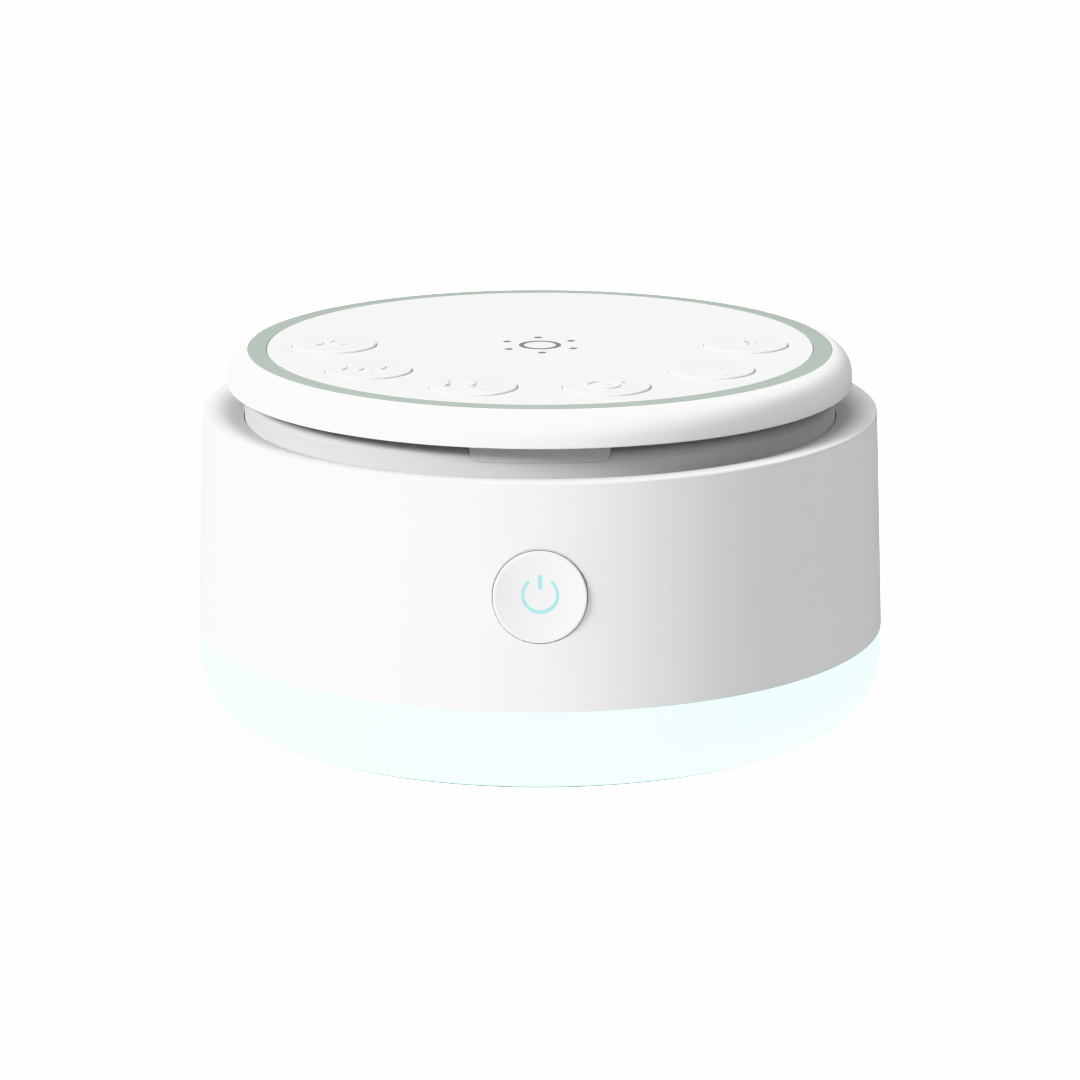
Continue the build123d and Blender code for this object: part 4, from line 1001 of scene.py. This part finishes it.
class MACHINE_OT_power_button(bpy.types.Operator):
    """Turn the dished power button and lay the lit sign in it"""

    bl_idname = "machine.power_button"
    bl_label = "Power button"

    def execute(self, context):
        moulding = context.scene.machine_moulding
        rim = BUTTON_RADIUS - BUTTON_BEVEL
        bowl = (rim**2 + BUTTON_DISH**2) / (2 * BUTTON_DISH)
        floor = BUTTON_PROUD - BUTTON_DISH
        sweep = math.degrees(math.asin(rim / bowl))
        button = Outline(0.0, floor).arc(0.0, floor + bowl, sweep, BUTTON_DISH_STEPS)
        button.to(BUTTON_RADIUS, BUTTON_PROUD - BUTTON_LAND, moulding.button_edge / MM)
        button.to(BUTTON_RADIUS, BUTTON_FLANGE_TOP).to(BUTTON_FLANGE, BUTTON_FLANGE_TOP)
        button.to(BUTTON_FLANGE, BUTTON_BACK).to(BUTTON_BORE, BUTTON_BACK)
        button.to(BUTTON_BORE, BUTTON_FACE_BACK).to(0.0, BUTTON_FACE_BACK)
        shape = button.turned(moulding.turning_steps)
        face = button_face()
        bmesh.ops.transform(shape, matrix=face, verts=shape.verts[:])
        piece("power_button_skin", shape, "button_white", ["power_button"], "power_button_body")
        bezel = Outline(BEZEL_RADIUS, -BEZEL_DEPTH).to(BEZEL_RADIUS, -BEZEL_SUNK)
        bezel.to(BEZEL_RADIUS - BEZEL_WIDTH, -BEZEL_SUNK, BEZEL_ROUNDING)
        bezel.to(BEZEL_RADIUS - BEZEL_WIDTH, -BEZEL_DEPTH).close()
        liner = bezel.turned(moulding.turning_steps)
        wall = extent("body_shell")[0] * MM
        for vert in liner.verts:  # The bezel bends back with the round wall
            vert.co.z -= vert.co.x**2 / (2 * wall)
        bmesh.ops.transform(liner, matrix=face, verts=liner.verts[:])
        piece("power_bezel", liner, "shell_white")
        sign = Relief()
        sign.ring(0.0, SIGN_RISE, SIGN_RADIUS, SIGN_LINE, SIGN_START, SIGN_SWEEP, SIGN_STEPS)
        sign.bar(0.0, SIGN_RISE + SIGN_BAR_MIDDLE, SIGN_BAR_LENGTH, SIGN_BAR_WIDTH, 90.0)
        lit = sign.raised(SIGN_THICKNESS)
        for vert in lit.verts:  # The sign lies in the dish
            vert.co.z += floor * MM + (vert.co.x**2 + vert.co.y**2) / (2 * bowl * MM)
        bmesh.ops.transform(lit, matrix=face, verts=lit.verts[:])
        piece("power_sign", lit, "light_pipe", (), "power_button_body")
        return {"FINISHED"}


BUTTON_RADIUS = 7.0
BUTTON_BEVEL = 0.34
BUTTON_DISH = 0.6
BUTTON_DISH_STEPS = 32
BUTTON_PROUD = 0.15
BUTTON_LAND = 0.02
BUTTON_FLANGE_TOP = -3.25
BUTTON_FLANGE = 8.53
BUTTON_BACK = -4.15
BUTTON_BORE = 5.73
BUTTON_FACE_BACK = -2.15
BEZEL_RADIUS = 7.3
BEZEL_WIDTH = 0.17
BEZEL_DEPTH = 1.2
BEZEL_SUNK = 0.03
BEZEL_ROUNDING = 0.06
SIGN_RISE = 0.24
SIGN_RADIUS = 2.6
SIGN_LINE = 0.45
SIGN_START = 130.0
SIGN_SWEEP = 280.0
SIGN_STEPS = 64
SIGN_BAR_MIDDLE = 1.925
SIGN_BAR_LENGTH = 2.05
SIGN_BAR_WIDTH = 0.63
SIGN_THICKNESS = 0.00002


def button_face():
    """The power button's own frame: its middle on the wall, and its axis out of the wall."""
    press = next(j for j in frame["record"]["behaviour"]["joints"] if j["name"] == "power_press")
    out = -Vector(press["axis"]).normalized()
    across = Vector((1.0, 0.0, 0.0))
    turn = Matrix((across, out.cross(across), out)).transposed().to_4x4()
    middle_depth = (BUTTON_PROUD + BUTTON_BACK) / 2 * MM
    return Matrix.Translation(middle("power_button") - out * middle_depth) @ turn


class MACHINE_OT_light_ring(bpy.types.Operator):
    """Turn the glowing ring"""

    bl_idname = "machine.light_ring"
    bl_label = "Light ring"

    def execute(self, context):
        steps = context.scene.machine_moulding.turning_steps
        radius, low, tongue = extent("light_ring")
        flat = radius - RING_CORNER_WIDTH
        straight = low + RING_CORNER_HEIGHT
        seam = tongue - RING_TONGUE
        ring = Outline(flat, low)
        ring.arc(flat, straight, 90.0, RING_ARC_STEPS, RING_CORNER_WIDTH / RING_CORNER_HEIGHT)
        ring.to(radius, seam, RING_SEAM_ROUNDING).to(radius - RING_STEP, seam)
        ring.to(radius - RING_STEP, tongue).to(radius - RING_WALL, tongue)
        inner_width = RING_CORNER_WIDTH - RING_WALL
        inner_height = RING_CORNER_HEIGHT - RING_WALL
        for count in range(RING_PRISMS + 1):
            angle = math.radians(90.0 * count / RING_PRISMS)
            ring.to(
                flat + inner_width * math.cos(angle), straight - inner_height * math.sin(angle)
            )
        ring.to(flat - RING_LIP, low + RING_WALL).to(flat - RING_LIP, low).close()
        piece("light_ring_skin", ring.turned(steps), "diffuser", ["light_ring"])
        return {"FINISHED"}


RING_CORNER_WIDTH = 6.7
RING_CORNER_HEIGHT = 9.64
RING_ARC_STEPS = 32
RING_SEAM_ROUNDING = 0.1
RING_TONGUE = 1.5
RING_STEP = 1.2
RING_WALL = 2.0
RING_LIP = 3.2
RING_PRISMS = 3


class MACHINE_OT_feet(bpy.types.Operator):
    """Turn the four rubber feet"""

    bl_idname = "machine.feet"
    bl_label = "Feet"

    def execute(self, context):
        low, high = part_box("feet")
        reach = (high.x - low.x) / 2 - FOOT_RADIUS * MM
        shape = Outline(0.0, low.z / MM).to(FOOT_RADIUS, low.z / MM, FOOT_ROUNDING)
        shape = shape.to(FOOT_RADIUS, high.z / MM).to(0.0, high.z / MM).turned(FOOT_STEPS)
        foot = shape.verts[:] + shape.edges[:] + shape.faces[:]
        bmesh.ops.translate(shape, verts=shape.verts[:], vec=(reach, 0.0, 0.0))
        for count in range(1, FOOT_COUNT):
            copy = bmesh.ops.duplicate(shape, geom=foot)["geom"]
            verts = [item for item in copy if isinstance(item, bmesh.types.BMVert)]
            turn = Matrix.Rotation(math.tau * count / FOOT_COUNT, 3, "Z")
            bmesh.ops.rotate(shape, verts=verts, cent=(0.0, 0.0, 0.0), matrix=turn)
        piece("feet_skin", shape, "foot_rubber", ["feet"])
        return {"FINISHED"}


FOOT_RADIUS = 4.5
FOOT_ROUNDING = 0.35
FOOT_STEPS = 64
FOOT_COUNT = 4


class MACHINE_OT_stage(bpy.types.Operator):
    """Make the backdrop, the lights and the camera"""

    bl_idname = "machine.stage"
    bl_label = "Stage"

    def execute(self, context):
        stage = context.scene.machine_stage
        self.room(context.scene, stage)
        self.lamp(context.scene, stage, "key")
        self.lamp(context.scene, stage, "back")
        self.camera(context.scene, stage)
        self.picture(context.scene)
        return {"FINISHED"}

    def room(self, scene, stage):
        """Light from the table and from overhead; the camera sees a white backdrop."""
        world = bpy.data.worlds.new("room")
        world.use_nodes = True
        world.node_tree.nodes.clear()
        room = Wiring(world.node_tree)
        towards = room.node("ShaderNodeTexCoord", output="Generated")
        height = room.node("ShaderNodeSeparateXYZ", None, {"Vector": towards}, "Z")
        table = room.ramp(height, *TABLE_EDGE, stage.floor_bounce, stage.side_light, "LINEAR")
        ceiling = room.ramp(height, *CEILING_EDGE, 0.0, stage.ceiling_light, "LINEAR")
        inputs = {"Color": WHITE, "Strength": table + ceiling}
        light = room.node("ShaderNodeBackground", None, inputs)
        inputs = {"Color": WHITE, "Strength": stage.backdrop}
        seen = room.node("ShaderNodeBackground", None, inputs)
        by_camera = room.node("ShaderNodeLightPath", output="Is Camera Ray")
        mix = room.node("ShaderNodeMixShader", None, {0: by_camera, 1: light, 2: seen})
        room.node("ShaderNodeOutputWorld", None, {"Surface": mix})
        scene.world = world

    def lamp(self, scene, stage, name):
        """A soft far lamp, whose settings in stage start with its name."""
        azimuth = getattr(stage, f"{name}_azimuth")
        elevation = getattr(stage, f"{name}_elevation")
        light = bpy.data.lights.new(f"{name}_light", "SUN")
        light.energy = getattr(stage, f"{name}_strength")
        light.angle = getattr(stage, f"{name}_softness")
        lamp = bpy.data.objects.new(f"{name}_light", light)
        scene.collection.objects.link(lamp)
        towards = Matrix.Rotation(azimuth, 3, "Z") @ Matrix.Rotation(-elevation, 3, "Y").col[0]
        lamp.location = towards
        lamp.rotation_mode = "QUATERNION"
        lamp.rotation_quaternion = towards.to_track_quat("Z", "Y")

    def camera(self, scene, stage):
        """Looks at the machine's front from a little above."""
        data = bpy.data.cameras.new("camera")
        data.lens = stage.lens
        data.sensor_width = SENSOR_WIDTH
        camera = bpy.data.objects.new("camera", data)
        scene.collection.objects.link(camera)
        camera.location = (0.0, -stage.camera_distance, stage.camera_height)
        camera.rotation_euler = (math.pi / 2 - stage.camera_pitch, 0.0, 0.0)
        scene.camera = camera

    def picture(self, scene):
        """Plain colours with a soft shoulder, which keeps the whites from clipping."""
        view = scene.view_settings
        view.view_transform = "Standard"
        view.look = "None"
        view.use_curve_mapping = True
        mapping = view.curve_mapping
        mapping.clip_max_x = SHOULDER_END[0]
        curve = mapping.curves[COMBINED_CURVE]
        curve.points[-1].location = SHOULDER_END
        for bright, shown in SHOULDER:
            curve.points.new(bright, shown)
        for point in curve.points:
            point.handle_type = "AUTO_CLAMPED"
        mapping.update()


WHITE = (1.0, 1.0, 1.0, 1.0)
TABLE_EDGE = (-0.56, -0.44)
CEILING_EDGE = (0.38, 0.58)
SENSOR_WIDTH = 36.0
COMBINED_CURVE = 3
SHOULDER = ((0.4, 0.4), (0.75, 0.75), (1.0, 0.925), (1.3, 0.966), (2.0, 0.984))
SHOULDER_END = (4.0, 0.992)


class MACHINE_PT_panel(bpy.types.Panel):
    """The machine's operators, in the order in which they run"""

    bl_idname = "MACHINE_PT_panel"
    bl_label = "Noise Machine"
    bl_space_type = "VIEW_3D"
    bl_region_type = "UI"
    bl_category = "Noise Machine"

    def draw(self, context):
        for operator in OPERATORS:
            self.layout.operator(operator.bl_idname)


OPERATORS = (
    MACHINE_OT_finishes,
    MACHINE_OT_cap,
    MACHINE_OT_top_panel,
    MACHINE_OT_keys,
    MACHINE_OT_power_button,
    MACHINE_OT_light_ring,
    MACHINE_OT_feet,
    MACHINE_OT_stage,
)
CLASSES = (MouldingSettings, FinishSettings, StageSettings, *OPERATORS, MACHINE_PT_panel)


def register():
    for cls in CLASSES:
        bpy.utils.register_class(cls)
    bpy.types.Scene.machine_moulding = PointerProperty(type=MouldingSettings)
    bpy.types.Scene.machine_finish = PointerProperty(type=FinishSettings)
    bpy.types.Scene.machine_stage = PointerProperty(type=StageSettings)


def unregister():
    del bpy.types.Scene.machine_stage
    del bpy.types.Scene.machine_finish
    del bpy.types.Scene.machine_moulding
    for cls in reversed(CLASSES):
        bpy.utils.unregister_class(cls)


def main():
    register()
    bpy.ops.machine.finishes()
    bpy.ops.machine.cap()
    bpy.ops.machine.top_panel()
    bpy.ops.machine.keys()
    bpy.ops.machine.power_button()
    bpy.ops.machine.light_ring()
    bpy.ops.machine.feet()
    bpy.ops.machine.stage()


if __name__ == "__main__":
    main()
